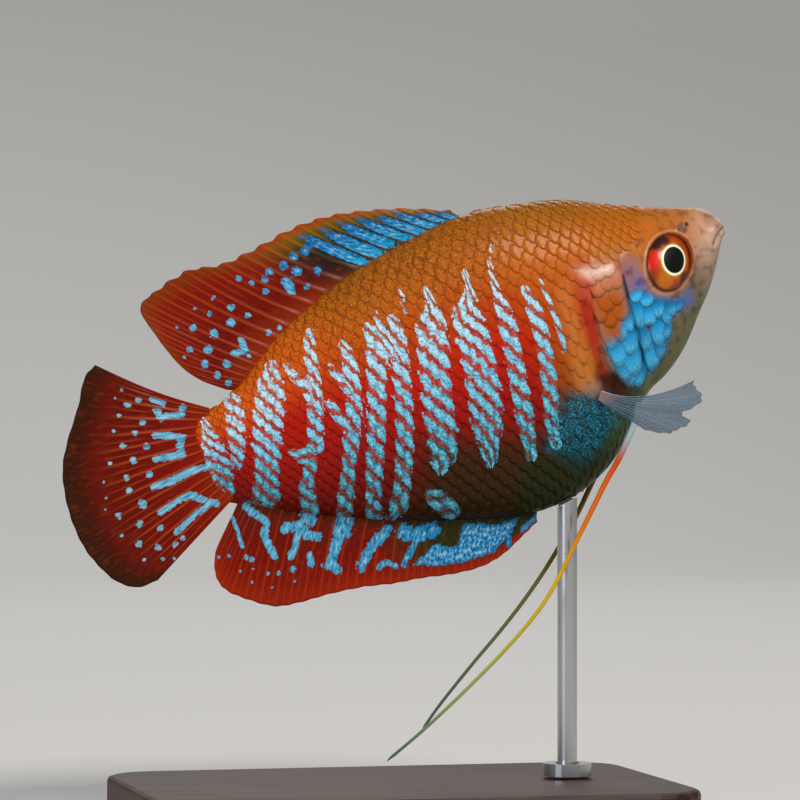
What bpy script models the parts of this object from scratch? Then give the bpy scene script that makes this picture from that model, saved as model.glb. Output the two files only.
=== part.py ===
"""A male dwarf gourami, life size, held by a rod over a flat base.

Every length below is in millimetres, and MM turns it to metres as a mesh is made.
The fish is drawn level in its own frame: s runs back from the tip of the snout along the midline,
y to the fish's left and z up, so a mesh has x = -s. The fish frame is then pitched nose up
by its parent empty. The stand is drawn straight in the world, its base centred on the origin.
"""
import math

import bmesh
import bpy
from mathutils import Matrix, Vector

MM = 0.001
GAP = 0.3                     # clearance between faces that meet
CLEAR = 25.0                  # side outlines and slabs close this far out, clear of the body

# Pose: nose up, with the fish frame's origin (below the snout's tip) at this place in the world
PITCH = math.radians(22.0)
FISH_X, FISH_Z = 38.65, 61.6

# Body stations: distance behind the snout, height of the back, of the belly, half width
BODY = (
    (0.0, 5.2, 3.1, 0.9),
    (0.6, 6.3, 2.4, 1.5),
    (1.6, 7.0, 0.95, 2.0),
    (3.6, 7.85, -1.65, 2.65),
    (6.0, 8.85, -4.0, 3.45),
    (9.0, 10.2, -6.85, 4.45),
    (12.0, 11.65, -8.8, 5.25),
    (15.0, 13.2, -9.95, 5.7),
    (18.0, 14.35, -12.6, 5.95),
    (21.0, 15.1, -15.35, 6.1),
    (25.0, 16.1, -17.1, 6.2),
    (29.0, 16.45, -17.7, 6.1),
    (34.0, 16.1, -17.15, 5.8),
    (40.0, 15.35, -15.1, 5.25),
    (46.0, 13.85, -12.75, 4.55),
    (52.0, 11.65, -9.9, 3.7),
    (57.0, 8.8, -7.3, 2.9),
    (60.0, 7.4, -5.5, 2.4),
    (62.5, 7.15, -4.0, 1.9),
    (64.6, 7.6, -3.2, 1.3),
)
BODY_END = BODY[-1][0]
SNOUT_RINGS = ((-0.3, 0.25), (-0.22, 0.6))    # rounds the snout: place, and share of the first section
BODY_STEPS = (0.0, 0.25, 0.6, 1.1, 1.7, 2.4, 3.2, 4.1, 5.1)    # close together over the mouth
HEAD_STEP, HEAD_STEPS_END = 1.2, 16.0
TRUNK_STEP = 2.2
SIDE_POWER = 1.08             # above 1 the section is sharper at the back and belly than an ellipse
RING = 28                     # points round one section

# Partings on the flank, as (s, z) from top to bottom
HEAD_KEYS = (
    (11.6, 13.6), (12.3, 11.0), (13.2, 8.0), (14.6, 5.4), (17.0, 3.7), (18.4, 1.2),
    (19.0, -1.4), (19.5, -3.8), (19.2, -5.8), (17.9, -7.9), (16.3, -9.3), (15.0, -12.5),
)
STALK_KEYS = ((58.0, 14.0), (57.6, 2.0), (58.0, -12.0))
TAIL_LINE_KEYS = ((62.1, 11.0), (62.6, 5.0), (63.2, 0.0), (63.7, -7.0))
COVER_KEYS = (
    (16.6, 5.0), (15.0, 4.6), (14.1, 3.1), (13.75, 0.6), (13.9, -2.2), (14.2, -5.0),
    (14.6, -7.3), (15.5, -8.9),
)
COVER_REAR = 26.0             # well behind the gill opening, where the head's parting ends the cover
COVER_TOP_RISE, COVER_BELLY_DROP = 1.4, 0.6
FLANK_FROM = 1.0              # a gill cover keeps this far out from the midline
COVER_PROUD = 0.2             # the gill cover stands this far out of the cheek
COVER_DEEP = 0.65             # and reaches this far under the skin

# Mouth: the gape falls back from the front of the lips to the corner, then the jaw's own rear line
GAPE_FRONT = (-3.0, 4.9)
GAPE_CORNER = (2.3, 2.0)
JAW_REAR = ((3.6, 0.4), (5.6, -2.3), (6.4, -6.0))
LIP_STEPS = (0.1, 0.5, 1.0, 1.6)      # places along the gape, from the front to near its corner
LIP_RADIUS, LIP_SUNK = 0.58, 0.16

# Eyes: lens-shaped, looking slightly forward
EYE_S, EYE_Y, EYE_Z = 8.45, 3.5, 2.95
EYE_RADIUS = 3.2
EYE_HALF_DEPTH = 1.55
EYE_OVAL, ORBIT_OVAL = 0.95, 0.9      # width over height
EYE_TURN = math.radians(24.0)
EYE_LIFT = math.radians(5.0)
ORBIT_RADIUS = 3.42
ORBIT_RIM = 0.34
ORBIT_PROUD = 0.02            # how far the middle of the rim lies over the skin

# Nostrils: (s, z, radius of the raised rim)
NOSTRILS = ((4.2, 6.0, 0.46), (5.4, 5.7, 0.36))
NOSTRIL_BORE = 0.22

# Unpaired fins: where each key ray leaves the body, and where it meets the rim as (s, z)
DORSAL_KEYS = (
    (26.8, 28.4, 17.3), (30.0, 33.2, 19.4), (34.0, 37.6, 20.85), (38.0, 41.8, 21.8),
    (42.0, 45.9, 22.0), (46.0, 50.3, 21.5), (49.5, 54.6, 21.25), (52.0, 58.5, 22.0),
    (54.0, 62.4, 21.2), (55.4, 64.7, 20.0), (56.3, 64.3, 16.8), (57.0, 63.1, 12.9),
    (57.5, 61.5, 10.4), (57.8, 59.6, 8.7),
)
ANAL_KEYS = (
    (31.2, 32.0, -18.5), (32.8, 34.4, -19.4), (34.8, 37.1, -20.3), (37.2, 40.0, -20.6),
    (40.0, 43.3, -20.1), (43.0, 46.6, -19.2), (46.0, 49.8, -18.5), (49.0, 53.2, -17.5),
    (52.0, 56.9, -16.8), (54.6, 60.2, -16.4), (57.0, 63.0, -15.7), (59.0, 65.6, -13.8),
    (60.4, 67.5, -11.8), (61.3, 67.8, -9.8), (61.9, 66.7, -7.4), (62.3, 64.6, -5.9),
)
TAIL_KEYS = (
    (7.2, 71.6, 16.2), (6.7, 73.2, 15.3), (6.0, 75.0, 12.7), (5.2, 77.4, 9.8),
    (4.2, 79.1, 7.2), (3.2, 80.0, 4.2), (2.1, 80.3, 1.2), (1.0, 80.1, -1.6),
    (-0.1, 79.4, -4.0), (-1.2, 78.2, -6.4), (-2.2, 76.3, -7.9), (-2.9, 74.0, -8.0),
)
TAIL_HOLLOW_FROM, TAIL_HOLLOW = 4.0, 0.16    # rays rooted above this height sag by this share

# Half thicknesses of a fin, and how deep its rim is cut between two rays
RAY_ROOT_HALF, RAY_RIM_HALF, MEMBRANE_HALF = 0.5, 0.28, 0.25
SLIM_ROOT_HALF = 0.42
DORSAL_NOTCH, ANAL_NOTCH, SOFT_NOTCH = 0.45, 0.3, 0.25
DORSAL_RAYS, ANAL_RAYS, TAIL_RAYS = 25, 28, 16
DORSAL_BOW, ANAL_BOW = 0.6, 0.4
MEMBRANE_SHARES = (0.32, 0.68)        # where the membrane's own lines run between two rays

# Pectoral fins: where key rays end, along and up from the middle of the fin's root
PECTORAL_S, PECTORAL_Z = 22.1, -6.6
PECTORAL_ROOT = 1.1           # half height of the root
PECTORAL_RIPPLE = 0.35        # how far the fin's face waves in and out
FORWARD_FAN = (
    (12.2, 0.9), (12.3, 0.1), (12.9, -0.6), (12.9, -1.5), (11.6, -2.3), (10.4, -2.9),
    (11.3, -3.7), (10.8, -4.3), (9.7, -4.7), (8.9, -5.1), (7.4, -5.1), (5.8, -4.8),
)
FORWARD_DIP = -2.3            # the forward fin's rays dip this far at the wrist before they fan out
FORWARD_SWING = math.radians(42.0)    # out from straight ahead
RESTING_SWING, RESTING_DROOP = math.radians(160.0), math.radians(-6.0)
RESTING_FAN = (
    (10.2, 2.9), (12.4, 2.2), (14.0, 1.1), (14.6, -0.1), (14.0, -1.3),
    (12.8, -2.4), (11.2, -3.2), (9.3, -3.7), (7.4, -3.8), (5.6, -3.4),
)

# Pelvic feelers: the way each runs, as (s, y out from the midline, z), root first inside the body
RIGHT_FEELER = (
    (16.4, 1.0, -9.2), (18.0, 2.9, -11.7), (21.2, 3.2, -14.8), (23.8, 3.0, -16.9),
    (26.9, 2.9, -19.6), (29.6, 2.9, -21.9), (32.7, 2.9, -24.6), (36.2, 2.9, -27.1),
    (41.2, 2.9, -29.6), (47.1, 2.9, -32.0), (53.2, 2.9, -34.2), (58.4, 2.8, -35.8),
)
LEFT_FEELER = (
    (16.4, 1.0, -9.2), (18.0, 2.9, -11.7), (20.7, 3.2, -14.5), (24.0, 2.9, -17.4),
    (27.3, 2.6, -20.2), (31.6, 2.5, -23.4), (35.6, 2.5, -26.0), (39.9, 2.5, -28.4),
    (44.1, 2.5, -30.5), (49.2, 2.5, -33.2), (52.3, 2.5, -35.1),
)
FEELER_RADII = (0.42, 0.27, 0.18)    # at the root, halfway and at the tip
RIGHT_STEPS, LEFT_STEPS = 34, 30

# Stand: a flat base, a rod up to the belly and a collar at its foot
BASE_LONG, BASE_WIDE, BASE_THICK = 60.0, 40.0, 4.0
BASE_CORNER, BASE_EDGE = 6.0, 0.6
ROD_X, ROD_RADIUS = 19.3, 1.1
COLLAR_RADIUS, COLLAR_HEIGHT = 2.7, 1.4
ROD_REACH = 45.0              # the rod's length before the belly cuts it
ROUND_SIDES = 24

# Finishes: linear colour, roughness and metallic value
SKIN_RED = ((0.60, 0.06, 0.01), 0.4, 0.0)
CLEAR_FIN = ((0.35, 0.45, 0.55), 0.4, 0.0)
STEEL = ((0.60, 0.60, 0.60), 0.25, 1.0)
IRIS = ((0.55, 0.10, 0.02), 0.1, 0.0)
GILL_BLUE = ((0.05, 0.35, 0.75), 0.3, 0.0)
LOOKS = {
    "head": ((0.45, 0.20, 0.05), 0.45, 0.0),
    "lower_jaw": ((0.45, 0.36, 0.33), 0.45, 0.0),
    "gill_cover_left": GILL_BLUE,
    "gill_cover_right": GILL_BLUE,
    "eye_left": IRIS,
    "eye_right": IRIS,
    "trunk": SKIN_RED,
    "tail_stalk": SKIN_RED,
    "dorsal_fin": ((0.05, 0.30, 0.55), 0.4, 0.0),
    "anal_fin": ((0.35, 0.02, 0.0), 0.4, 0.0),
    "caudal_fin": ((0.40, 0.04, 0.0), 0.4, 0.0),
    "pectoral_fin_left": CLEAR_FIN,
    "pectoral_fin_right": CLEAR_FIN,
    "pelvic_feeler_right": ((0.80, 0.25, 0.01), 0.45, 0.0),
    "pelvic_feeler_left": ((0.20, 0.16, 0.04), 0.45, 0.0),
    "stand_base": ((0.16, 0.09, 0.05), 0.5, 0.0),
    "stand_rod": STEEL,
    "stand_collar": STEEL,
}


def curve_value(keys, place, column):
    """Value of one column of a table at a place in its first column, along a smooth curve."""
    last = len(keys) - 1
    place = min(max(place, keys[0][0]), keys[last][0])
    low = max(i for i in range(last) if keys[i][0] <= place)

    def slope(i):
        before, after = keys[max(i - 1, 0)], keys[min(i + 1, last)]
        return (after[column] - before[column]) / (after[0] - before[0])

    width = keys[low + 1][0] - keys[low][0]
    t = (place - keys[low][0]) / width
    rise = keys[low + 1][column] - keys[low][column]
    start, end = slope(low) * width, slope(low + 1) * width
    return (keys[low][column] + start * t + (3 * rise - 2 * start - end) * t * t
            + (start + end - 2 * rise) * t ** 3)


def smooth_points(points, count):
    """Even steps along a smooth curve through the points, of any number of coordinates."""
    keys = [(i,) + tuple(point) for i, point in enumerate(points)]
    span = len(points) - 1
    return [tuple(curve_value(keys, span * k / (count - 1), 1 + c) for c in range(len(points[0])))
            for k in range(count)]


HEAD_LINE = smooth_points(HEAD_KEYS, 26)
STALK_LINE = smooth_points(STALK_KEYS, 5)
TAIL_LINE = smooth_points(TAIL_LINE_KEYS, 7)
COVER_FRONT = smooth_points(COVER_KEYS, 14)


def section(s):
    """Height of the back, height of the belly and half width at s."""
    return tuple(curve_value(BODY, s, column) for column in (1, 2, 3))


def half_width(s, z, swell=0.0):
    """How far the flank stands from the midline at s and z."""
    back, belly, half = section(s)
    high = min(abs(z - (back + belly) / 2) / ((back - belly) / 2 + swell), 1.0)
    return (half + swell) * math.cos(math.asin(high)) ** SIDE_POWER


def place(s, y, z):
    """A point of the fish frame as a vertex, in metres."""
    return Vector((-s, y, z)) * MM


def body_stations():
    """Places of the rings along the body, each with the share of its section that it keeps."""
    stations = list(SNOUT_RINGS) + [(s, 1.0) for s in BODY_STEPS]
    while stations[-1][0] < HEAD_STEPS_END:
        stations.append((stations[-1][0] + HEAD_STEP, 1.0))
    while stations[-1][0] < BODY_END - TRUNK_STEP:
        stations.append((stations[-1][0] + TRUNK_STEP, 1.0))
    return stations + [(BODY_END, 1.0)]


def body_mesh(swell=0.0):
    """The closed skin of head and body, grown outwards by swell."""
    work = bmesh.new()
    rings = []
    for s, full in body_stations():
        back, belly, half = section(s)
        shift = -swell if s <= 0 else swell if s == BODY_END else 0.0
        ring = []
        for k in range(RING):
            turn = 2 * math.pi * (k + 0.5) / RING
            side = math.copysign(abs(math.cos(turn)) ** SIDE_POWER, math.cos(turn))
            z = (back + belly) / 2 + ((back - belly) / 2 + swell) * math.sin(turn) * full
            ring.append(work.verts.new(place(s + shift, (half + swell) * side * full, z)))
        rings.append(ring)
    for front, rear in zip(rings, rings[1:]):
        for k in range(RING):
            after = (k + 1) % RING
            work.faces.new((front[k], front[after], rear[after], rear[k]))
    work.faces.new(rings[0])
    work.faces.new(list(reversed(rings[-1])))
    return finish_mesh(work, "skin")


def finish_mesh(work, name):
    """Turns the faces outwards, splits them to triangles and makes the mesh."""
    bmesh.ops.triangulate(work, faces=[face for face in work.faces if len(face.verts) > 4])
    bmesh.ops.recalc_face_normals(work, faces=work.faces)
    if work.calc_volume(signed=True) < 0:
        bmesh.ops.reverse_faces(work, faces=work.faces)
    mesh = bpy.data.meshes.new(name)
    work.to_mesh(mesh)
    work.free()
    return mesh


def add_object(name, mesh, collection):
    piece = bpy.data.objects.new(name, mesh)
    collection.objects.link(piece)
    return piece


def add_cutter(name, mesh):
    """A tool that shapes other pieces and isn't part of the object."""
    tool = add_object(name, mesh, cutters)
    tool.hide_render = True
    tool.display_type = "WIRE"
    return tool


def evaluated_mesh(piece):
    bpy.context.view_layer.update()
    return bpy.data.meshes.new_from_object(piece.evaluated_get(bpy.context.evaluated_depsgraph_get()))


def combine(piece, tool, operation, solver="EXACT"):
    """Applies one Boolean with a tool, and removes the tool."""
    modifier = piece.modifiers.new(tool.name, "BOOLEAN")
    modifier.operation = operation
    modifier.solver = solver
    modifier.object = tool
    mesh = evaluated_mesh(piece)
    piece.modifiers.clear()
    piece.data = mesh
    bpy.data.objects.remove(tool)


def keep_largest(piece):
    """Keeps only the largest closed surface of a piece."""
    work = bmesh.new()
    work.from_mesh(piece.data)
    bmesh.ops.remove_doubles(work, verts=work.verts, dist=0.001 * MM)
    left = set(work.verts)
    islands = []
    while left:
        grown, edge = set(), [left.pop()]
        while edge:
            vertex = edge.pop()
            grown.add(vertex)
            near = {link.other_vert(vertex) for link in vertex.link_edges} & left
            left -= near
            edge.extend(near)
        islands.append(grown)
    largest = max(islands, key=len)
    bmesh.ops.delete(work, geom=[v for v in work.verts if v not in largest], context="VERTS")
    work.to_mesh(piece.data)
    work.free()


def offset_line(points, distance):
    """A line moved sideways: a positive distance moves one that runs down towards the tail."""
    moved = []
    last = len(points) - 1
    for i, (s, z) in enumerate(points):
        along = Vector(points[min(i + 1, last)]) - Vector(points[max(i - 1, 0)])
        along.normalize()
        moved.append((s - along.y * distance, z + along.x * distance))
    return moved


def slab(name, outline, y_low=-CLEAR, y_high=CLEAR):
    """A cutter with this side outline, as (s, z), between two distances from the midline."""
    curve = bpy.data.curves.new(name, "CURVE")
    curve.dimensions = "2D"
    curve.fill_mode = "BOTH"
    curve.extrude = (y_high - y_low) / 2 * MM
    spline = curve.splines.new("POLY")
    spline.points.add(len(outline) - 1)
    for point, (s, z) in zip(spline.points, outline):
        point.co = (-s * MM, z * MM, 0.0, 1.0)
    spline.use_cyclic_u = True
    flat = add_object(name, curve, cutters)
    mesh = evaluated_mesh(flat)
    bpy.data.objects.remove(flat)
    upright = Matrix.Translation((0.0, (y_high + y_low) / 2 * MM, 0.0)) @ Matrix.Rotation(math.pi / 2, 4, "X")
    mesh.transform(upright)
    return add_cutter(name, weld(mesh))


def weld(mesh):
    """Joins loose caps and turns the faces outwards."""
    work = bmesh.new()
    work.from_mesh(mesh)
    bmesh.ops.remove_doubles(work, verts=work.verts, dist=0.002 * MM)
    return finish_mesh(work, mesh.name)


def tube(name, points, radii, sides_resolution):
    """A closed mesh along points of the fish frame, as (s, y, z), with a radius at each."""
    curve = bpy.data.curves.new(name, "CURVE")
    curve.dimensions = "3D"
    curve.bevel_depth = MM
    curve.bevel_resolution = sides_resolution
    curve.use_fill_caps = True
    spline = curve.splines.new("POLY")
    spline.points.add(len(points) - 1)
    for point, spot, radius in zip(spline.points, points, radii):
        point.co = (*place(*spot), 1.0)
        point.radius = radius
    line = add_object(name, curve, cutters)
    mesh = evaluated_mesh(line)
    bpy.data.objects.remove(line)
    return weld(mesh)


def finish(piece, of_fish=True):
    """Gives a finished piece its own material, its smooth shading and its place."""
    colour, roughness, metallic = LOOKS[piece.name]
    material = bpy.data.materials.new(piece.name)
    material.use_nodes = True
    shader = material.node_tree.nodes["Principled BSDF"]
    shader.inputs["Base Color"].default_value = (*colour, 1.0)
    shader.inputs["Roughness"].default_value = roughness
    shader.inputs["Metallic"].default_value = metallic
    piece.data.materials.clear()
    piece.data.materials.append(material)
    piece.data.shade_smooth()
    piece.data.set_sharp_from_angle(angle=math.radians(40.0))
    if of_fish:
        piece.parent = fish


def flesh(name, outline):
    """The part of the body inside a side outline, as its own solid."""
    piece = add_object(name, body_mesh(), parts)
    combine(piece, slab(name + "_region", outline), "INTERSECT")
    return piece


def between(front, rear):
    """Side outline of the body from one parting to the next, clear of back and belly."""
    middle = (front[0][0] + rear[0][0]) / 2
    edge = offset_line(front, GAP / 2) + [(middle, -CLEAR)]
    return edge + list(reversed(offset_line(rear, -GAP / 2))) + [(middle, CLEAR)]


def head_region():
    """Side outline of the head, from its parting forward past the snout."""
    return offset_line(HEAD_LINE, -GAP / 2) + [(-CLEAR, -CLEAR), (-CLEAR, CLEAR)]


def flank_span(side):
    """Distances from the midline between which one flank lies, lowest first."""
    return (FLANK_FROM, CLEAR) if side > 0 else (-CLEAR, -FLANK_FROM)


def cover_region(grow):
    """Side outline of the gill cover, open to the rear where the head's own parting ends it."""
    front = offset_line(COVER_FRONT, -grow)
    return front + [(COVER_REAR, front[-1][1] - COVER_BELLY_DROP),
                    (COVER_REAR, front[0][1] + COVER_TOP_RISE + grow)]


def on_flank(s, z, side, swell=0.0):
    return (s, side * half_width(s, z, swell), z)


def lips(piece):
    """One roll of lip round the gape, which the parting of the jaw then splits in two."""
    ends = list(LIP_STEPS) + [GAPE_CORNER[0]]
    slope = (GAPE_CORNER[1] - GAPE_FRONT[1]) / (GAPE_CORNER[0] - GAPE_FRONT[0])
    path = []
    for side in (1, -1):
        half = [on_flank(s, GAPE_CORNER[1] + slope * (s - GAPE_CORNER[0]), side, -LIP_SUNK)
                for s in ends]
        path += list(reversed(half)) if side > 0 else half
    span = len(path) - 1
    radii = [LIP_RADIUS * math.sin(math.pi * (0.2 + 0.6 * i / span)) for i in range(span + 1)]
    combine(piece, add_cutter("lip_roll", tube("lip_roll", path, radii, 2)), "UNION")


def orbit_matrix(side):
    """Turns a piece made along Z to look out of the eye on this side, and puts it there."""
    sideways = Matrix.Rotation(side * (math.pi / 2 - EYE_TURN), 4, "Z")
    outward = Matrix.Rotation(math.pi / 2 - EYE_LIFT, 4, "Y")
    return Matrix.Translation(place(EYE_S, side * EYE_Y, EYE_Z)) @ sideways @ outward


def eyeball_mesh(grow=0.0):
    work = bmesh.new()
    bmesh.ops.create_uvsphere(work, u_segments=20, v_segments=10, radius=MM)
    size = (EYE_RADIUS + grow, EYE_RADIUS * EYE_OVAL + grow, EYE_HALF_DEPTH + grow)
    bmesh.ops.scale(work, verts=work.verts, vec=size)
    return finish_mesh(work, "eyeball")


def orbit_rim(piece, side):
    """A low fleshy ring round the eye, laid on the flank."""
    bpy.ops.mesh.primitive_torus_add(major_segments=24, minor_segments=6,
                                     major_radius=ORBIT_RADIUS * MM, minor_radius=ORBIT_RIM * MM)
    ring = bpy.context.object
    turn = orbit_matrix(side)
    for vertex in ring.data.vertices:
        height = vertex.co.z
        spot = turn @ Vector((vertex.co.x, vertex.co.y * ORBIT_OVAL, 0.0))
        flank = half_width(-spot.x / MM, spot.z / MM) + ORBIT_PROUD
        vertex.co = (spot.x, side * (flank * MM + height), spot.z)
    cutter = add_cutter("orbit_rim", weld(ring.data))
    bpy.data.objects.remove(ring)
    combine(piece, cutter, "UNION")


def nostrils(piece, side):
    """Raised nostril rims, each bored a little way in."""
    for s, z, radius in NOSTRILS:
        spot = place(*on_flank(s, z, side))
        for size, operation, out in ((radius, "UNION", 0.0), (NOSTRIL_BORE, "DIFFERENCE", radius)):
            work = bmesh.new()
            bmesh.ops.create_uvsphere(work, u_segments=8, v_segments=6, radius=size * MM)
            mesh = finish_mesh(work, "nostril")
            mesh.transform(Matrix.Translation(spot + Vector((0.4, side, 0.5)).normalized() * out * MM))
            combine(piece, add_cutter("nostril", mesh), operation)


def make_head():
    """The head with its lips, nostrils, eye sockets and the beds of its gill covers."""
    head = flesh("head", head_region())
    lips(head)
    for side in (1, -1):
        orbit_rim(head, side)
        nostrils(head, side)
        socket = eyeball_mesh(GAP)
        socket.transform(orbit_matrix(side))
        combine(head, add_cutter("socket", socket), "DIFFERENCE")
        bed = slab("cover_bed", cover_region(GAP), *flank_span(side))
        combine(bed, add_cutter("core", body_mesh(-COVER_DEEP - GAP)), "DIFFERENCE")
        combine(head, bed, "DIFFERENCE")
    return head


def jaw_outline(grow):
    """Side outline of the lower jaw, grown towards the rest of the head."""
    line = offset_line((GAPE_FRONT, GAPE_CORNER) + JAW_REAR, grow)
    return line + [(JAW_REAR[-1][0], -CLEAR), (-CLEAR, -CLEAR)]


def make_jaw(head):
    """Parts the lower jaw and lip from the head along the gape."""
    jaw = add_object("lower_jaw", head.data.copy(), parts)
    combine(jaw, slab("jaw_region", jaw_outline(-GAP / 2)), "INTERSECT")
    combine(head, slab("jaw_gap", jaw_outline(GAP / 2)), "DIFFERENCE")
    return jaw


def make_cover(name, side):
    """A thin gill cover that lies on the cheek up to the gill opening."""
    cover = add_object(name, body_mesh(COVER_PROUD), parts)
    combine(cover, slab("cover_outline", cover_region(0.0), *flank_span(side)), "INTERSECT")
    combine(cover, slab("head_outline", head_region()), "INTERSECT")
    combine(cover, add_cutter("core", body_mesh(-COVER_DEEP)), "DIFFERENCE")
    return cover


def make_eye(name, side):
    mesh = eyeball_mesh()
    mesh.transform(orbit_matrix(side))
    return add_object(name, mesh, parts)


def sheet_columns(rays):
    """Each ray, with the membrane's own two lines between it and the next."""
    columns = []
    for i, ray in enumerate(rays):
        columns.append((ray, True))
        if i < len(rays) - 1:
            for share in MEMBRANE_SHARES:
                columns.append((blend_ray(ray, rays[i + 1], share), False))
    return columns


def sheet_face(work, columns, rows, face, root_half, notch):
    """Vertices and triangles of the near face (1) or the far face (-1) of a fin."""
    verts = []
    for ray, is_ray in columns:
        column = []
        for j, (point, out) in enumerate(ray):
            thin = root_half + (RAY_RIM_HALF - root_half) * j / (rows - 1)
            half = thin if is_ray else MEMBRANE_HALF
            if j == rows - 1 and not is_ray:
                point = point + (ray[j - 1][0] - point).normalized() * notch
            column.append(work.verts.new((point + out * half * face) * MM))
        verts.append(column)
    for a, b in zip(verts, verts[1:]):
        for j in range(rows - 1):
            work.faces.new((a[j], b[j], b[j + 1]))
            work.faces.new((a[j], b[j + 1], a[j + 1]))
    return verts


def ray_sheet(name, rays, notch, root_half=RAY_ROOT_HALF):
    """A fin: rays as ridges in a membrane, both faces split into triangles alike.

    Each ray is a list of points from root to rim, as (point, outward direction of the near face).
    """
    columns = sheet_columns(rays)
    rows = len(rays[0])
    work = bmesh.new()
    near = sheet_face(work, columns, rows, 1, root_half, notch)
    far = sheet_face(work, columns, rows, -1, root_half, notch)
    for i in range(len(columns) - 1):
        for j in (0, rows - 1):
            work.faces.new((near[i][j], near[i + 1][j], far[i + 1][j], far[i][j]))
    for i in (0, len(columns) - 1):
        for j in range(rows - 1):
            work.faces.new((near[i][j], near[i][j + 1], far[i][j + 1], far[i][j]))
    bmesh.ops.triangulate(work, faces=[face for face in work.faces if len(face.verts) > 3])
    return add_object(name, finish_mesh(work, name), parts)


def blend_ray(a, b, share):
    return [(p.lerp(q, share), m.lerp(n, share).normalized()) for (p, m), (q, n) in zip(a, b)]


def ray_steps(root, rim, rows, bow, out):
    """Points along one ray, bowed a little towards the tail."""
    points = []
    for j in range(rows):
        along = j / (rows - 1)
        spot = root.lerp(rim, along) + Vector((-bow, 0.0, 0.0)) * math.sin(math.pi * along) * 0.5
        points.append((spot, out))
    return points


def midline_rays(keys, count, root_of, rows, bow=0.0):
    """Rays spread evenly over a table of (place at the root, rim s, rim z), in the midline."""
    out = Vector((0.0, 1.0, 0.0))
    rays = []
    for root_place, rim_s, rim_z in smooth_points(keys, count):
        s, z = root_of(root_place)
        rays.append(ray_steps(Vector((-s, 0.0, z)), Vector((-rim_s, 0.0, rim_z)), rows, bow, out))
    return rays


def make_dorsal_fin():
    rays = midline_rays(DORSAL_KEYS, DORSAL_RAYS, lambda s: (s, section(s)[0] + GAP), 5, DORSAL_BOW)
    return ray_sheet("dorsal_fin", rays, DORSAL_NOTCH)


def make_anal_fin():
    rays = midline_rays(ANAL_KEYS, ANAL_RAYS, lambda s: (s, section(s)[1] - GAP), 4, ANAL_BOW)
    return ray_sheet("anal_fin", rays, ANAL_NOTCH)


def tail_root(z):
    line = sorted((z, s) for s, z in TAIL_LINE)
    return curve_value(line, z, 1) + GAP / 2, z


def make_tail_fin():
    """The tail fin, its uppermost rays bent down a little, so that its top edge is hollow."""
    rays = midline_rays(TAIL_KEYS, TAIL_RAYS, tail_root, 6)
    for ray in rays:
        lift = max(ray[0][0].z - TAIL_HOLLOW_FROM, 0.0)
        for j, (point, out) in enumerate(ray):
            point.z -= TAIL_HOLLOW * lift * math.sin(math.pi * j / (len(ray) - 1))
    return ray_sheet("caudal_fin", rays, SOFT_NOTCH)


def fan_rays(fan, side, swing, droop, dip, rows):
    """Rays of a pectoral fin that leave the flank in one narrow band, dip and then fan out."""
    turn = Matrix.Rotation(side * swing, 3, "Z") @ Matrix.Rotation(droop, 3, "Y")
    out = turn @ Vector((0.0, 1.0, 0.0))
    root_s, root_y, root_z = on_flank(PECTORAL_S, PECTORAL_Z, side, -1.0)
    root = Vector((-root_s, root_y, root_z))
    rays = []
    for i, (along, up) in enumerate(fan):
        start = PECTORAL_ROOT * (1 - 2 * i / (len(fan) - 1))
        wrist = dip + 0.25 * start if dip else up / 2
        points = []
        for j in range(rows):
            t = j / (rows - 1)
            forward = 0.9 * along * t * (1 - t) + along * t * t
            level = start * (1 - t) ** 2 + 2 * wrist * t * (1 - t) + up * t * t
            spot = Vector((forward, PECTORAL_RIPPLE * math.sin(math.pi * t * 1.5) * side, level))
            points.append((root + turn @ spot, out))
        rays.append(points)
    return rays


def make_pectoral(name, fan, side, swing, droop, dip):
    fin = ray_sheet(name, fan_rays(fan, side, swing, droop, dip, 6), SOFT_NOTCH, SLIM_ROOT_HALF)
    combine(fin, add_cutter("flank", body_mesh(GAP)), "DIFFERENCE", "MANIFOLD")
    keep_largest(fin)
    return fin


def make_feeler(name, route, side, steps):
    points = [(s, side * y, z) for s, y, z in smooth_points(route, steps)]
    radii = [curve_value([(i / 2, r) for i, r in enumerate(FEELER_RADII)], i / (steps - 1), 1)
             for i in range(steps)]
    feeler = add_object(name, tube(name, points, radii, 1), parts)
    combine(feeler, add_cutter("belly", body_mesh(GAP)), "DIFFERENCE")
    keep_largest(feeler)
    return feeler


def cone_mesh(radius, height, z_low):
    work = bmesh.new()
    bmesh.ops.create_cone(work, cap_ends=True, segments=ROUND_SIDES, radius1=radius * MM,
                          radius2=radius * MM, depth=height * MM)
    bmesh.ops.translate(work, verts=work.verts, vec=(ROD_X * MM, 0.0, (z_low + height / 2) * MM))
    return finish_mesh(work, "round")


def make_base():
    """A flat plate with round corners and eased edges, standing on the floor."""
    work = bmesh.new()
    bmesh.ops.create_cube(work, size=MM)
    bmesh.ops.scale(work, verts=work.verts, vec=(BASE_LONG, BASE_WIDE, BASE_THICK))
    bmesh.ops.translate(work, verts=work.verts, vec=(0.0, 0.0, BASE_THICK / 2 * MM))
    upright = [edge for edge in work.edges if abs((edge.verts[0].co - edge.verts[1].co).z) > MM]
    bmesh.ops.bevel(work, geom=upright, offset=BASE_CORNER * MM, segments=5, profile=0.5, affect="EDGES")
    top = [edge for edge in work.edges if all(v.co.z > (BASE_THICK - 0.01) * MM for v in edge.verts)
           and len(edge.link_faces) == 2 and any(abs(face.normal.z) < 0.5 for face in edge.link_faces)]
    bmesh.ops.bevel(work, geom=top, offset=BASE_EDGE * MM, segments=2, profile=0.5, affect="EDGES")
    return add_object("stand_base", finish_mesh(work, "stand_base"), parts)


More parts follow.
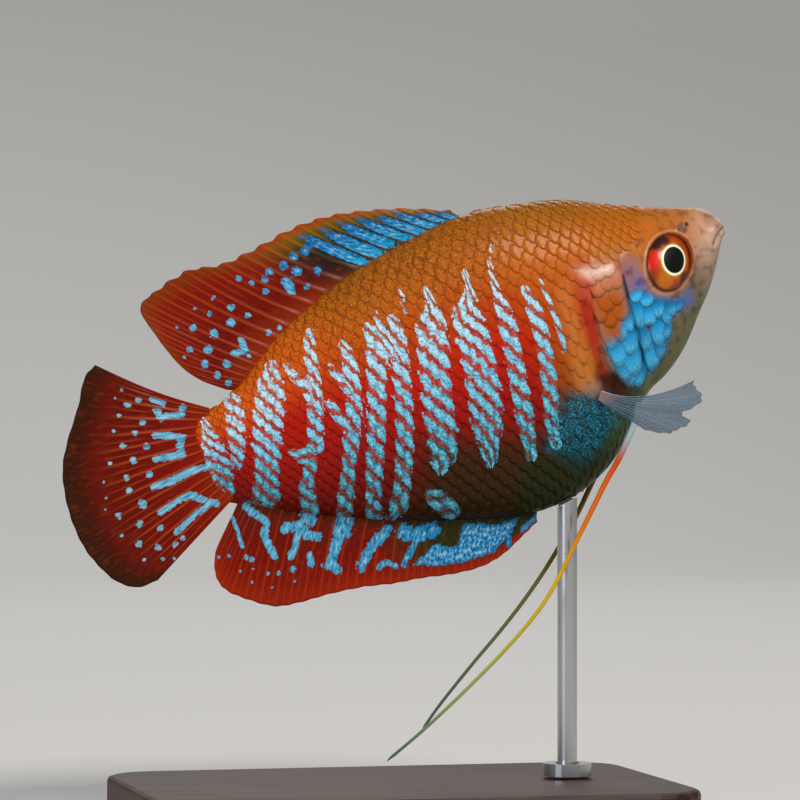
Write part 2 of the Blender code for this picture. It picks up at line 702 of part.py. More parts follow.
def make_rod():
    """The rod from just over the base up to the belly, its top cut to the belly's slope."""
    foot = BASE_THICK + GAP
    rod = add_object("stand_rod", cone_mesh(ROD_RADIUS, ROD_REACH, foot), parts)
    belly = body_mesh(GAP)
    belly.transform(fish.matrix_world)
    combine(rod, add_cutter("belly", belly), "DIFFERENCE")
    return rod


def make_collar():
    """A ring round the rod's foot, clear of the rod and of the base."""
    low = BASE_THICK + GAP
    collar = add_object("stand_collar", cone_mesh(COLLAR_RADIUS, COLLAR_HEIGHT, low), parts)
    combine(collar, add_cutter("bore", cone_mesh(ROD_RADIUS + GAP, 3 * COLLAR_HEIGHT, low - COLLAR_HEIGHT)),
            "DIFFERENCE")
    return collar


for old in list(bpy.data.objects):
    bpy.data.objects.remove(old)
parts = bpy.data.collections.new("dwarf_gourami")
cutters = bpy.data.collections.new("cutters")
for group in (parts, cutters):
    bpy.context.scene.collection.children.link(group)
fish = bpy.data.objects.new("fish_pose", None)
parts.objects.link(fish)
fish.location = (FISH_X * MM, 0.0, FISH_Z * MM)
fish.rotation_euler = (0.0, -PITCH, 0.0)
bpy.context.view_layer.update()

head = make_head()
jaw = make_jaw(head)
for piece in (head, jaw):
    keep_largest(piece)
    finish(piece)
for name, side in (("left", 1), ("right", -1)):
    finish(make_cover("gill_cover_" + name, side))
    finish(make_eye("eye_" + name, side))
finish(flesh("trunk", between(HEAD_LINE, STALK_LINE)))
finish(flesh("tail_stalk", between(STALK_LINE, TAIL_LINE)))

finish(make_dorsal_fin())
finish(make_anal_fin())
finish(make_tail_fin())
forward_droop = math.atan(math.cos(FORWARD_SWING) * math.tan(PITCH))    # brings this fin level in the world
finish(make_pectoral("pectoral_fin_right", FORWARD_FAN, -1, FORWARD_SWING, forward_droop, FORWARD_DIP))
finish(make_pectoral("pectoral_fin_left", RESTING_FAN, 1, RESTING_SWING, RESTING_DROOP, 0.0))
finish(make_feeler("pelvic_feeler_right", RIGHT_FEELER, -1, RIGHT_STEPS))
finish(make_feeler("pelvic_feeler_left", LEFT_FEELER, 1, LEFT_STEPS))

for piece in (make_base(), make_rod(), make_collar()):
    finish(piece, of_fish=False)
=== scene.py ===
import math

import bmesh
import bpy
import numpy as np
from mathutils import Matrix, Vector


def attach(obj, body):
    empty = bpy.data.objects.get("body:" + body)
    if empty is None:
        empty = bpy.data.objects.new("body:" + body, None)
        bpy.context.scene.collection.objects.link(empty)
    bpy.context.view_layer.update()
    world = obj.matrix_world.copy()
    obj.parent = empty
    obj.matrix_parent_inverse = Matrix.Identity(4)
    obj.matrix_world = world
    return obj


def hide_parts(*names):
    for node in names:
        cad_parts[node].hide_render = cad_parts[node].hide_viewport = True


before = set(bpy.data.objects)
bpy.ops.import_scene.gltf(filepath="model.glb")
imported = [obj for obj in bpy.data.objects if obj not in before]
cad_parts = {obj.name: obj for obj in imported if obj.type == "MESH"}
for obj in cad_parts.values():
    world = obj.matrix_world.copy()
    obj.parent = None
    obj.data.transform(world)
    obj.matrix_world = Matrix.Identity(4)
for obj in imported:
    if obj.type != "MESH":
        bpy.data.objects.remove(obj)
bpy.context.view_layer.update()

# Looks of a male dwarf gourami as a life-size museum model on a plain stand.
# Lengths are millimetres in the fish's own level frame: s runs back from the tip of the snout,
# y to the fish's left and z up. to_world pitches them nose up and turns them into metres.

bpy.ops.object.select_all(action="DESELECT")

MM = 0.001
SEED = 7

# Pose and body, as the solids have them
PITCH = math.radians(22.0)
FISH_X, FISH_Z = 38.65, 61.6
BODY = (        # distance behind the snout, height of the back, of the belly, half width
    (0.0, 5.2, 3.1, 0.9), (0.6, 6.3, 2.4, 1.5), (1.6, 7.0, 0.95, 2.0), (3.6, 7.85, -1.65, 2.65),
    (6.0, 8.85, -4.0, 3.45), (9.0, 10.2, -6.85, 4.45), (12.0, 11.65, -8.8, 5.25),
    (15.0, 13.2, -9.95, 5.7), (18.0, 14.35, -12.6, 5.95), (21.0, 15.1, -15.35, 6.1),
    (25.0, 16.1, -17.1, 6.2), (29.0, 16.45, -17.7, 6.1), (34.0, 16.1, -17.15, 5.8),
    (40.0, 15.35, -15.1, 5.25), (46.0, 13.85, -12.75, 4.55), (52.0, 11.65, -9.9, 3.7),
    (57.0, 8.8, -7.3, 2.9), (60.0, 7.4, -5.5, 2.25), (62.0, 7.0, -4.2, 1.3),
    (63.4, 6.9, -3.4, 0.6), (64.6, 6.4, -2.6, 0.25),
)
SNOUT_TIP, BODY_END = -0.3, 64.6
SIDE_POWER = 1.08

# Head
GILL_KEYS = (   # height, place of the gill cover's rear edge
    (-12.5, 15.0), (-9.3, 16.3), (-7.9, 17.9), (-5.8, 19.2), (-3.8, 19.5), (-1.4, 19.0),
    (1.2, 18.4), (3.7, 17.6), (5.4, 16.4),
)
CHEEK_KEYS = (  # height, place of the groove down the cheek
    (-7.7, 15.4), (-6.7, 15.2), (-4.8, 15.0), (-2.8, 14.7), (-1.7, 14.8), (0.6, 14.6),
    (2.3, 14.4), (4.6, 14.0),
)
GAPE = ((-0.5, 4.15), (0.7, 3.85), (1.5, 3.4), (2.1, 2.8))
JAW_FOLD = ((0.6, 3.0), (2.8, 0.6), (5.8, -3.2), (8.5, -5.6))
NOSTRILS = ((4.2, 6.0, 0.36), (5.4, 5.7, 0.28))
PORES = ((9.1, 7.3), (8.6, 8.0), (11.1, 5.8), (16.0, 9.5), (15.8, 11.9), (13.2, 8.8), (6.9, 7.4))
EYE_S, EYE_Y, EYE_Z = 8.45, 3.5, 2.95
EYE_LONG, EYE_SHORT, EYE_HALF_DEPTH = 3.45, 2.72, 1.6
EYE_FILL = 1.04                       # eyeball over the opening of its socket
EYE_TILT = math.radians(34.0)         # the long axis points this far up from straight ahead
EYE_TURN, EYE_LIFT = math.radians(24.0), math.radians(5.0)
RING_LONG, RING_SHORT = 1.88, 1.62    # half axes of the pale ring round the pupil
PUPIL_SHARE = 0.85                    # pupil over ring

# Scales: the largest one, and the lattice they stand in
COAT_DEPTH = 0.12
FLAT_EDGE, PROUD_EDGE = 0.03, 0.11    # how far free edges stand over the skin, on flank and nape
SCALE_LONG, SCALE_TALL = 2.05, 2.5
COLUMN_STEP, ROW_STEP = 0.8, 2.45
SCALE_SIZE = (  # along the body: place, share of full size
    (6.0, 0.6), (14.0, 0.75), (20.0, 0.95), (28.0, 1.0), (40.0, 0.95), (50.0, 0.8),
    (57.0, 0.68), (64.0, 0.56),
)
NAPE_LINE = ((8.0, 9.6), (9.1, 8.9), (10.4, 7.1), (13.4, 5.9), (17.4, 6.4), (20.0, 5.0))
CHEEK = (       # outline of the plated part of the cheek and gill cover
    (12.9, 2.4), (14.6, 5.8), (17.6, 5.8), (18.6, 1.2), (19.0, -2.5), (19.0, -5.0), (18.3, -6.9),
    (16.6, -8.3), (14.6, -7.7), (13.2, -7.0), (12.0, -5.8), (10.9, -4.4), (10.0, -2.8), (8.4, -2.4),
    (8.6, -1.6), (10.4, -0.9), (11.6, -0.3), (12.4, 1.0),
)
HEAD_PLATES = ( # middle, width, height, and shade from deep blue to bright, upper ones first
    (15.5, 5.0, 1.4, 1.3, 0.5), (16.7, 5.1, 1.4, 1.4, 0.6), (17.7, 4.9, 1.2, 1.4, 0.4),
    (15.1, 3.6, 1.3, 1.5, 0.3), (16.2, 3.8, 1.4, 1.5, 0.5), (17.4, 3.6, 1.4, 1.6, 0.6),
    (15.7, 2.2, 1.5, 1.8, 0.4), (17.1, 2.0, 1.6, 1.9, 0.6), (18.2, 1.2, 1.2, 2.0, 0.5),
    (15.9, 0.5, 1.5, 1.9, 0.7), (17.4, 0.3, 1.5, 2.0, 0.3), (13.6, 1.2, 1.2, 1.1, 1.0),
    (12.5, 0.4, 1.3, 1.3, 0.9), (14.2, -0.6, 1.2, 2.7, 0.6), (15.5, -1.2, 0.9, 1.6, 0.7),
    (16.8, -1.4, 1.5, 2.2, 0.5), (18.2, -1.6, 1.4, 2.4, 0.6), (12.9, -1.4, 1.3, 1.9, 1.0),
    (11.6, -1.1, 1.2, 1.6, 0.6), (10.8, -1.9, 1.0, 2.1, 0.4), (9.9, -1.7, 1.0, 1.4, 0.3),
    (8.9, -1.8, 1.0, 1.1, 0.2), (16.1, -3.1, 1.6, 2.4, 0.6), (17.9, -3.7, 1.6, 2.5, 0.8),
    (14.2, -3.5, 1.2, 2.4, 0.45), (12.4, -3.4, 1.4, 2.5, 0.85), (11.3, -3.6, 1.1, 1.8, 0.3),
    (16.4, -5.2, 1.8, 2.7, 0.8), (17.9, -5.8, 1.5, 2.3, 0.45), (13.9, -5.6, 1.4, 3.0, 1.0),
    (12.7, -5.3, 1.1, 2.0, 0.15), (16.2, -7.2, 1.6, 2.0, 0.4), (17.5, -7.0, 1.4, 1.7, 0.2),
)
HEAD_PLATE_SPREAD = 1.5               # how much each plate of the head overlaps its neighbours
BARE_ROOT = (22.1, -6.6, 1.6)         # no scales this far round the pectoral fin's root

# Bright bars from the shoulder to the tail: s, z and half width down each of them
BARS = (
    ((23.2, 6.6, 0.24), (23.2, 3.8, 0.27), (23.4, 0.0, 0.30), (23.8, -1.6, 0.2)),
    ((25.2, 6.5, 0.42), (25.2, 3.5, 0.84), (25.7, -0.2, 0.8), (26.9, -5.3, 0.86), (27.7, -7.7, 0.76),
     (28.1, -10.8, 0.6)),
    ((26.3, 12.4, 0.18), (27.7, 10.3, 0.21), (28.2, 7.2, 0.47), (28.5, 4.1, 0.95), (29.4, -0.8, 0.92),
     (30.3, -5.8, 1.0), (31.1, -10.8, 0.7)),
    ((30.5, 10.8, 0.25), (31.0, 8.4, 0.51), (32.3, 6.2, 1.45), (32.8, 2.3, 1.75), (33.8, -2.3, 1.75),
     (34.8, -6.3, 1.5), (35.7, -9.8, 0.6)),
    ((35.2, 10.5, 0.33), (35.5, 8.4, 0.61), (36.4, 6.6, 1.5), (37.8, 2.5, 1.6), (39.0, -1.6, 1.55),
     (40.0, -6.0, 1.55), (40.9, -8.2, 0.9)),
    ((42.9, -10.7, 0.7), (41.8, -12.3, 1.2), (41.1, -13.6, 0.8)),
    ((37.7, 11.8, 0.15), (38.0, 10.6, 0.2), (38.4, 9.0, 0.15)),
    ((40.1, 9.2, 0.3), (40.1, 7.6, 0.76), (41.1, 4.2, 0.88), (42.3, 0.3, 0.92), (43.8, -4.1, 0.93),
     (45.7, -8.9, 0.94), (46.6, -10.7, 0.95), (47.4, -11.7, 0.5)),
    ((42.8, 9.1, 0.5), (42.7, 7.5, 1.0), (44.1, 3.6, 0.98), (45.8, -0.7, 0.97), (47.7, -5.2, 0.95),
     (49.1, -9.4, 0.85), (49.2, -11.2, 0.9)),
    ((41.3, 10.3, 0.17), (41.6, 8.5, 0.4), (41.5, 6.7, 0.5), (41.5, 4.7, 0.4)),
    ((46.0, 8.4, 0.4), (46.1, 6.5, 0.7), (47.1, 2.8, 0.78), (48.8, -0.9, 0.84), (50.5, -4.6, 0.72),
     (51.9, -7.9, 0.95), (52.2, -9.4, 0.75)),
    ((48.3, 6.7, 0.3), (47.9, 5.2, 0.5), (47.4, 3.3, 0.45)),
    ((49.8, 3.0, 0.4), (49.5, 1.1, 0.55), (49.2, -0.5, 0.45)),
    ((48.7, 10.8, 0.48), (49.5, 9.0, 0.61), (50.7, 5.1, 0.72), (52.2, 1.3, 0.88), (52.9, -0.8, 0.84)),
    ((52.5, 8.5, 0.29), (52.2, 7.0, 0.49), (51.5, 5.6, 0.6), (51.6, 4.0, 0.5)),
    ((55.5, -0.6, 0.4), (54.2, -1.8, 0.9), (54.4, -3.0, 0.67), (55.4, -4.9, 0.8), (55.6, -7.4, 0.95)),
    ((53.8, 9.1, 0.47), (54.6, 7.6, 1.05), (55.5, 5.9, 1.4), (57.4, 2.0, 1.5), (58.9, -1.8, 1.2),
     (60.1, -4.7, 1.6)),
    ((59.2, 7.0, 0.78), (59.6, 5.5, 0.95), (60.7, 2.4, 0.76), (61.3, 0.2, 0.4)),
    ((62.8, 6.9, 0.34), (62.9, 5.4, 0.45), (63.2, 2.4, 1.2), (63.5, -1.3, 1.1), (63.5, -2.5, 0.4)),
)
ROW_HEIGHTS = ((20.0, 2.5), (34.0, 2.4), (44.0, 2.25), (50.0, 1.95), (56.0, 1.65), (64.0, 1.45))
PATCH_WIDTH, PATCH_ROW = 1.0, 2.2     # a bar's bright patches: one column and one row of them
PATCH_HALF = (0.47, 0.98)             # half width and half height of a patch
PATCH_LEAN = 0.42                     # how far a patch leans from its bar, in radians

# Fins: where each key ray leaves the body, and where it meets the rim as (s, z)
DORSAL_KEYS = (
    (26.8, 28.4, 17.3), (29.2, 33.2, 19.4), (32.0, 37.6, 20.85), (35.2, 41.8, 21.8),
    (38.9, 45.9, 22.0), (42.9, 50.3, 21.5), (46.6, 54.6, 21.25), (49.8, 58.5, 22.0),
    (52.6, 62.4, 21.2), (54.6, 64.7, 20.0), (56.0, 64.3, 16.8), (57.0, 63.1, 12.9),
    (57.5, 61.5, 10.4), (57.8, 59.6, 8.7),
)
ANAL_KEYS = (
    (31.2, 32.0, -18.5), (32.8, 34.4, -19.4), (34.8, 37.1, -20.3), (37.2, 40.0, -20.6),
    (40.0, 43.3, -20.1), (43.0, 46.6, -19.2), (46.0, 49.8, -18.5), (49.0, 53.2, -17.5),
    (52.0, 56.9, -16.8), (54.6, 60.2, -16.4), (57.0, 63.0, -15.7), (59.0, 65.6, -13.8),
    (60.4, 67.5, -11.8), (61.3, 67.8, -9.8), (61.9, 66.7, -7.4), (62.3, 64.6, -5.9),
)
TAIL_KEYS = (
    (7.2, 71.6, 16.2), (6.7, 73.2, 15.3), (6.0, 75.0, 12.7), (5.2, 77.4, 9.8),
    (4.2, 79.1, 7.2), (3.2, 80.0, 4.2), (2.1, 80.3, 1.2), (1.0, 80.1, -1.6),
    (-0.1, 79.4, -4.0), (-1.2, 78.2, -6.4), (-2.2, 76.3, -7.9), (-2.9, 74.0, -8.0),
)
TAIL_LINE = ((-7.0, 63.7), (0.0, 63.2), (5.0, 62.6), (11.0, 62.1))
TAIL_HOLLOW_FROM, TAIL_HOLLOW = 4.0, 0.16
DORSAL_RAYS, ANAL_RAYS, TAIL_RAYS = 25, 28, 16
DORSAL_BOW, ANAL_BOW = 0.6, 0.4
DORSAL_SPINES = 15            # rays from the front that are hard spines, each with a free tip
FIN_SUNK = 0.7                # how deep a fin's root starts inside the body

PECTORAL_S, PECTORAL_Z, PECTORAL_ROOT = 22.1, -6.6, 0.42
FORWARD_FAN = (
    (12.2, 0.9), (12.3, 0.1), (12.9, -0.6), (12.9, -1.5), (11.6, -2.3), (10.4, -2.9),
    (11.3, -3.7), (10.8, -4.3), (9.7, -4.7), (8.9, -5.1), (7.4, -5.1), (5.8, -4.8),
)
FORWARD_DIP, FORWARD_SWING = -2.3, math.radians(42.0)
RESTING_FAN = (
    (10.2, 2.9), (12.4, 2.2), (14.0, 1.1), (14.6, -0.1), (14.0, -1.3),
    (12.8, -2.4), (11.2, -3.2), (9.3, -3.7), (7.4, -3.8), (5.6, -3.4),
)
RESTING_SWING, RESTING_DROOP = math.radians(160.0), math.radians(-6.0)

# Pelvic feelers as (s, y out from the midline, z), root first
RIGHT_FEELER = (
    (16.4, 1.0, -9.2), (18.0, 2.9, -11.7), (21.2, 3.2, -14.8), (23.8, 3.0, -16.9),
    (26.9, 2.9, -19.6), (29.6, 2.9, -21.9), (32.7, 2.9, -24.6), (36.2, 2.9, -27.1),
    (41.2, 2.9, -29.6), (47.1, 2.9, -32.0), (53.2, 2.9, -34.2), (58.4, 2.8, -35.8),
)
LEFT_FEELER = (
    (16.4, 1.0, -9.2), (18.0, 2.9, -11.7), (20.7, 3.2, -14.5), (24.0, 2.9, -17.4),
    (27.3, 2.6, -20.2), (31.6, 2.5, -23.4), (35.6, 2.5, -26.0), (39.9, 2.5, -28.4),
    (44.1, 2.5, -30.5), (49.2, 2.5, -33.2), (52.3, 2.5, -35.1),
)
FEELER_RADII = ((0.0, 0.40), (0.5, 0.25), (1.0, 0.16))

# Camera: the photo's direction and distance, in metres
AIM = Vector((0.00015, 0.0, 0.046))
CAMERA_AZIMUTH, CAMERA_DISTANCE, FRAME_WIDTH = math.radians(-14.0), 0.45, 0.088


# Colour and number helpers

def to_linear(text):
    """Linear colour from sRGB hex."""
    parts = [int(text[i:i + 2], 16) / 255 for i in (1, 3, 5)]
    return np.array([p / 12.92 if p <= 0.04045 else ((p + 0.055) / 1.055) ** 2.4 for p in parts])


def smooth(low, high, value):
    """0 below low, 1 above high, and a soft step between."""
    t = np.clip((value - low) / (high - low), 0.0, 1.0)
    return t * t * (3 - 2 * t)


def ramp(stops, value):
    """Colours along a list of (place, hex)."""
    places = [place for place, _ in stops]
    colours = np.array([to_linear(text) for _, text in stops])
    return np.column_stack([np.interp(value, places, colours[:, i]) for i in range(3)])


def mix(colour, other, share):
    """Blends each row of colour with other, a hex or an array."""
    target = to_linear(other) if isinstance(other, str) else other
    return colour + (target - colour) * np.asarray(share)[:, None]


def curve(keys, places, column=1):
    """Smooth values between the rows of a table."""
    table = np.asarray(keys, float)
    x, v = table[:, 0], table[:, column]
    slope = np.empty_like(v)
    slope[1:-1] = (v[2:] - v[:-2]) / (x[2:] - x[:-2])
    slope[0] = (v[1] - v[0]) / (x[1] - x[0])
    slope[-1] = (v[-1] - v[-2]) / (x[-1] - x[-2])
    i = np.clip(np.searchsorted(x, places) - 1, 0, len(x) - 2)
    step = x[i + 1] - x[i]
    t = np.clip((places - x[i]) / step, 0.0, 1.0)
    return ((2 * t ** 3 - 3 * t ** 2 + 1) * v[i] + (t ** 3 - 2 * t ** 2 + t) * step * slope[i]
            + (3 * t ** 2 - 2 * t ** 3) * v[i + 1] + (t ** 3 - t ** 2) * step * slope[i + 1])


def line_at(keys, z):
    """Place of an upright line of the head at a height, held at its ends."""
    return curve(keys, np.clip(z, keys[0][0], keys[-1][0]))


def smooth_rows(points, steps):
    """Points read smoothly from a list at steps of 0 to 1."""
    table = np.column_stack([np.arange(len(points)), np.asarray(points, float)])
    places = np.asarray(steps) * (len(points) - 1)
    return np.column_stack([curve(table, places, i) for i in range(1, table.shape[1])])


def distance(points, s, z):
    """Distance in the side view from a line of points."""
    best = np.full(np.shape(s), 1e9)
    for (s0, z0), (s1, z1) in zip(points, points[1:]):
        ds, dz = s1 - s0, z1 - z0
        t = np.clip(((s - s0) * ds + (z - z0) * dz) / (ds * ds + dz * dz), 0.0, 1.0)
        best = np.minimum(best, np.hypot(s - s0 - t * ds, z - z0 - t * dz))
    return best


def inside(points, s, z):
    """Depth inside an outline in the side view, negative outside."""
    closed = tuple(points) + (points[0],)
    odd = np.zeros(np.shape(s), bool)
    for (s0, z0), (s1, z1) in zip(closed, closed[1:]):
        crosses = (z0 > z) != (z1 > z)
        odd ^= crosses & (s < (s1 - s0) * (z - z0) / ((z1 - z0) or 1e-9) + s0)
    away = distance(closed, s, z)
    return np.where(odd, away, -away)


def to_world(spots):
    """World metres from the fish's frame, where x = -s."""
    x, y, z = np.asarray(spots, float).T
    turned = (FISH_X + x * math.cos(PITCH) - z * math.sin(PITCH), y,
              FISH_Z + x * math.sin(PITCH) + z * math.cos(PITCH))
    return np.column_stack(turned) * MM


# Body surface

def body_at(s):
    """Middle height, half height and half width of the section at s."""
    back, belly, half = (curve(BODY, s, i) for i in (1, 2, 3))
    rounding = np.sqrt(np.clip(1 - (np.minimum(s, 0.0) / SNOUT_TIP) ** 2, 0.0, 1.0))
    return (back + belly) / 2, (back - belly) / 2 * rounding, half * rounding


def surface(s, turn, side_sign):
    """Points on the body: turn runs from -90 degrees at the belly to 90 at the back."""
    middle, tall, half = body_at(s)
    y = half * np.abs(np.cos(turn)) ** SIDE_POWER * side_sign
    return np.column_stack([-s, y, middle + tall * np.sin(turn)])


def surface_normals(s, turn, side_sign):
    """Outward directions on the body."""
    step = 0.02
    ahead = surface(s - step, turn, side_sign) - surface(s + step, turn, side_sign)
    up = surface(s, turn + step, side_sign) - surface(s, turn - step, side_sign)
    normal = np.cross(up, ahead) * np.where(side_sign > 0, 1.0, -1.0)[:, None]
    return normal / np.maximum(np.linalg.norm(normal, axis=1), 1e-9)[:, None]


def shoulder_depth(s, z):
    """How far a place lies behind the gill opening."""
    return s - line_at(GILL_KEYS, z) - 1.1


def flank_depth(s, z):
    """How far a place lies inside the scaled part of nape and flank, negative outside."""
    nape = z - curve(NAPE_LINE, np.clip(s, NAPE_LINE[0][0], NAPE_LINE[-1][0]))
    nape = np.minimum(nape, s - NAPE_LINE[0][0])
    root_s, root_z, root_radius = BARE_ROOT
    return np.minimum(np.maximum(nape, shoulder_depth(s, z)), np.hypot(s - root_s, z - root_z) - root_radius)


def cheek_depth(s, z):
    """How far a place lies inside the plated part of the cheek, negative outside."""
    return inside(CHEEK, s, z)


def inset(s, z):
    """How deep the skin lies under the solid's surface, to leave room for the scales."""
    return 0.02 + COAT_DEPTH * smooth(-0.4, 0.4, np.maximum(flank_depth(s, z), cheek_depth(s, z)))


def head_relief(s, z):
    """Height of the head's folds over the plain body."""
    gape = distance(GAPE, s, z)
    below = z < np.interp(s, [p[0] for p in GAPE], [p[1] for p in GAPE])
    fade = smooth(3.2, 1.6, s)
    lip = np.where(below, 0.28 * np.exp(-((gape - 0.5) / 0.35) ** 2),
                   0.24 * np.exp(-((gape - 0.65) / 0.42) ** 2))
    height = lip * fade - 0.16 * np.exp(-(gape / 0.12) ** 2)
    height -= 0.05 * np.exp(-(distance(JAW_FOLD, s, z) / 0.4) ** 2)
    groove = np.abs(s - line_at(CHEEK_KEYS, z)) + 9 * (z < CHEEK_KEYS[0][0]) + 9 * (z > CHEEK_KEYS[-1][0])
    height -= 0.12 * np.exp(-(groove / 0.2) ** 2)
    for place, level, radius in NOSTRILS:
        away = np.hypot(s - place, z - level)
        height += 0.07 * np.exp(-((away - radius) / 0.16) ** 2)
        height -= 0.14 * np.exp(-(away / (radius * 0.6)) ** 2)
    for place, level in PORES:
        height -= 0.05 * np.exp(-(np.hypot(s - place, z - level) / 0.2) ** 2)
    behind = s - line_at(GILL_KEYS, z)
    gill = smooth(5.8, 4.6, z) * smooth(-12.5, -9.5, z)
    height -= gill * 0.2 * np.exp(-((behind - 0.35) / 0.35) ** 2)
    return height + gill_swelling(s, z)


def gill_swelling(s, z):
    """How far the gill cover stands out towards its rear edge."""
    behind = s - line_at(GILL_KEYS, z)
    gill = smooth(5.8, 4.6, z) * smooth(-12.5, -9.5, z)
    return gill * 0.18 * smooth(-5.0, -0.3, behind) * smooth(0.25, -0.12, behind)


def root_swelling(s, z):
    """Height of the fleshy base of the pectoral fin."""
    away = np.hypot(s - PECTORAL_S + 0.5, z - PECTORAL_Z)
    return 0.4 * np.exp(-(away / 0.95) ** 2)


def orbit_frame(side):
    """Turn and place of an eye: local z looks out of it."""
    turn = Matrix.Rotation(side * (math.pi / 2 - EYE_TURN), 3, "Z")
    turn = turn @ Matrix.Rotation(math.pi / 2 - EYE_LIFT, 3, "Y")
    return np.array(turn), np.array((-EYE_S, side * EYE_Y, EYE_Z))


def eye_distance(spots, side):
    """Places in an eye's own frame, and their distance from its middle, with 1 at its edge."""
    turn, centre = orbit_frame(side)
    local = (spots - centre) @ turn
    ahead, up = -side * local[:, 1], -local[:, 0]
    long_way = ahead * math.cos(EYE_TILT) + up * math.sin(EYE_TILT)
    short_way = up * math.cos(EYE_TILT) - ahead * math.sin(EYE_TILT)
    away = np.hypot(long_way / EYE_LONG, short_way / EYE_SHORT)
    return local, np.where((spots[:, 1] * side > 0) & (local[:, 2] > -2.5), away, 9.0)


def sink_orbit(spots, side):
    """Sinks the socket behind the eyeball and raises the fleshy rim round it."""
    turn, centre = orbit_frame(side)
    local, away = eye_distance(spots, side)
    local[:, 2] += (-1.1 - local[:, 2]) * smooth(1.0, 0.9, away)
    local[:, 2] += 0.1 * np.exp(-((away - 1.04) / 0.045) ** 2)
    local[:, 2] -= 0.04 * np.exp(-((away - 1.13) / 0.045) ** 2)
    return local @ turn.T + centre


# Markings, the same for skin and scales

FLANK = ((0.0, "#241c06"), (0.08, "#401804"), (0.2, "#640600"), (0.4, "#980a00"), (0.56, "#b81a00"),
         (0.7, "#b43c02"), (0.84, "#a85004"), (1.0, "#80480a"))
SHOULDER = ((0.0, "#1c2408"), (0.2, "#4c3808"), (0.4, "#a05004"), (0.6, "#b44404"), (0.8, "#b85c06"),
            (1.0, "#80500c"))
REAR_FLANK = ((0.0, "#5c0c00"), (0.25, "#8c0800"), (0.6, "#b01400"), (0.82, "#cc4202"), (1.0, "#b45006"))
HEAD = ((0.0, "#545c34"), (0.3, "#746450"), (0.5, "#a07458"), (0.68, "#b06c24"), (0.8, "#b86004"),
        (1.0, "#a05c08"))
SNOUT = ((0.0, "#8c7c6c"), (0.45, "#c8a890"), (0.7, "#c0947c"), (1.0, "#b08454"))
CHEEK_BLUE = (
    (13.1, 1.7), (14.2, 1.7), (15.2, -0.6), (16.5, -1.3), (17.0, -3.0), (18.0, -2.5), (19.2, -2.9),
    (18.8, -5.3), (18.4, -6.8), (16.8, -8.6), (15.2, -7.9), (13.3, -7.2), (12.1, -5.9), (11.0, -4.5),
    (10.3, -2.9), (9.2, -2.3), (7.6, -1.6), (9.4, -1.1), (11.3, 0.0),
)
THROAT = ((19.8, -7.6), (24.4, -5.6), (27.6, -7.4), (29.6, -11.0), (25.0, -14.0), (19.4, -11.6))
AREAS = (       # soft-edged areas: outline, colour, softness, share
    (((42.0, -4.8), (27.4, -9.8), (29.5, -19.0), (45.0, -14.5)), "#302004", 2.4, 0.85),
    (((24.5, -12.0), (32.0, -11.4), (36.0, -19.0), (21.0, -17.5)), "#182808", 1.8, 0.8),
    (((19.3, -7.6), (25.7, -5.6), (29.4, -10.5), (26.4, -14.5), (18.0, -12.5)), "#043c3c", 1.2, 0.9),
    (((15.6, -8.5), (20.2, -8.9), (23.0, -14.5), (17.5, -12.4)), "#3c4c1c", 1.0, 0.7),
    (((20.4, 5.6), (22.0, 5.0), (23.4, -2.0), (24.0, -6.2), (21.4, -6.0), (20.9, -1.0)), "#cc7c38",
     0.9, 0.6),
    (((13.4, 5.6), (12.0, 5.0), (11.9, 1.6), (14.8, 1.6), (14.4, 4.4)), "#7c6088", 0.9, 0.6),
    (((19.4, 6.8), (14.5, 5.6), (14.4, 4.4), (14.9, 2.7), (19.0, 3.0)), "#c87454", 1.1, 0.8),
    (((18.6, 6.1), (15.0, 5.3), (15.0, 4.5), (18.2, 4.8)), "#f4dccc", 0.8, 0.75),
    (((18.4, 2.8), (15.4, 2.4), (15.3, 0.1), (16.4, -0.8), (17.2, -2.3), (18.4, -2.2), (18.8, 0.5)),
     "#b05004", 0.7, 0.95),
    (((6.8, -0.9), (9.2, -1.2), (12.0, 0.6), (13.4, 2.0), (12.4, 3.0), (12.0, -0.4), (9.2, -2.6),
      (6.8, -2.2)), "#5468b0", 0.9, 0.8),
    (CHEEK_BLUE, "#04709c", 0.6, 0.95),
    (((2.0, 8.2), (6.5, 10.2), (9.5, 8.4), (6.6, 6.6), (3.4, 6.6)), "#a8682c", 0.7, 0.6),
    # Dark red-brown round the front of the pectoral fin's root: partly the skin's own red, partly painted shade
    # under the fin.
    (((19.9, -5.2), (18.6, -6.2), (18.0, -9.0), (21.0, -9.0), (22.6, -7.8), (21.4, -5.2)), "#3c0c06",
     0.5, 0.85),
    (((0.4, 6.6), (1.8, 7.2), (2.2, 5.4), (1.2, 4.2), (0.4, 4.4)), "#846454", 0.35, 0.4),
    (((23.4, -6.2), (22.3, -5.4), (21.2, -6.2), (21.2, -7.2), (22.4, -7.6)), "#a8806c", 0.5, 0.6),
)
STRIPES = (     # soft-edged lines: points, colour, half width, share
    (((18.8, 4.2), (19.6, 1.6), (20.1, -1.4)), "#b43424", 0.95, 0.65),
    (((19.5, 2.0), (20.1, -2.0), (20.2, -5.0)), "#981c14", 0.6, 0.6),
    # The dark line down the cheek's groove is painted shade in the crease.
    (((14.2, 3.7), (14.6, 0.6), (14.8, -2.2), (15.1, -5.8), (15.4, -7.7)), "#08243c", 0.22, 0.85),
    (((1.7, 7.05), (0.5, 6.1), (0.0, 4.6)), "#c8bcc0", 0.3, 0.6),
    # The dark line along the gape is painted shade in the slit of the mouth.
    (GAPE, "#5c3830", 0.12, 0.6),
)
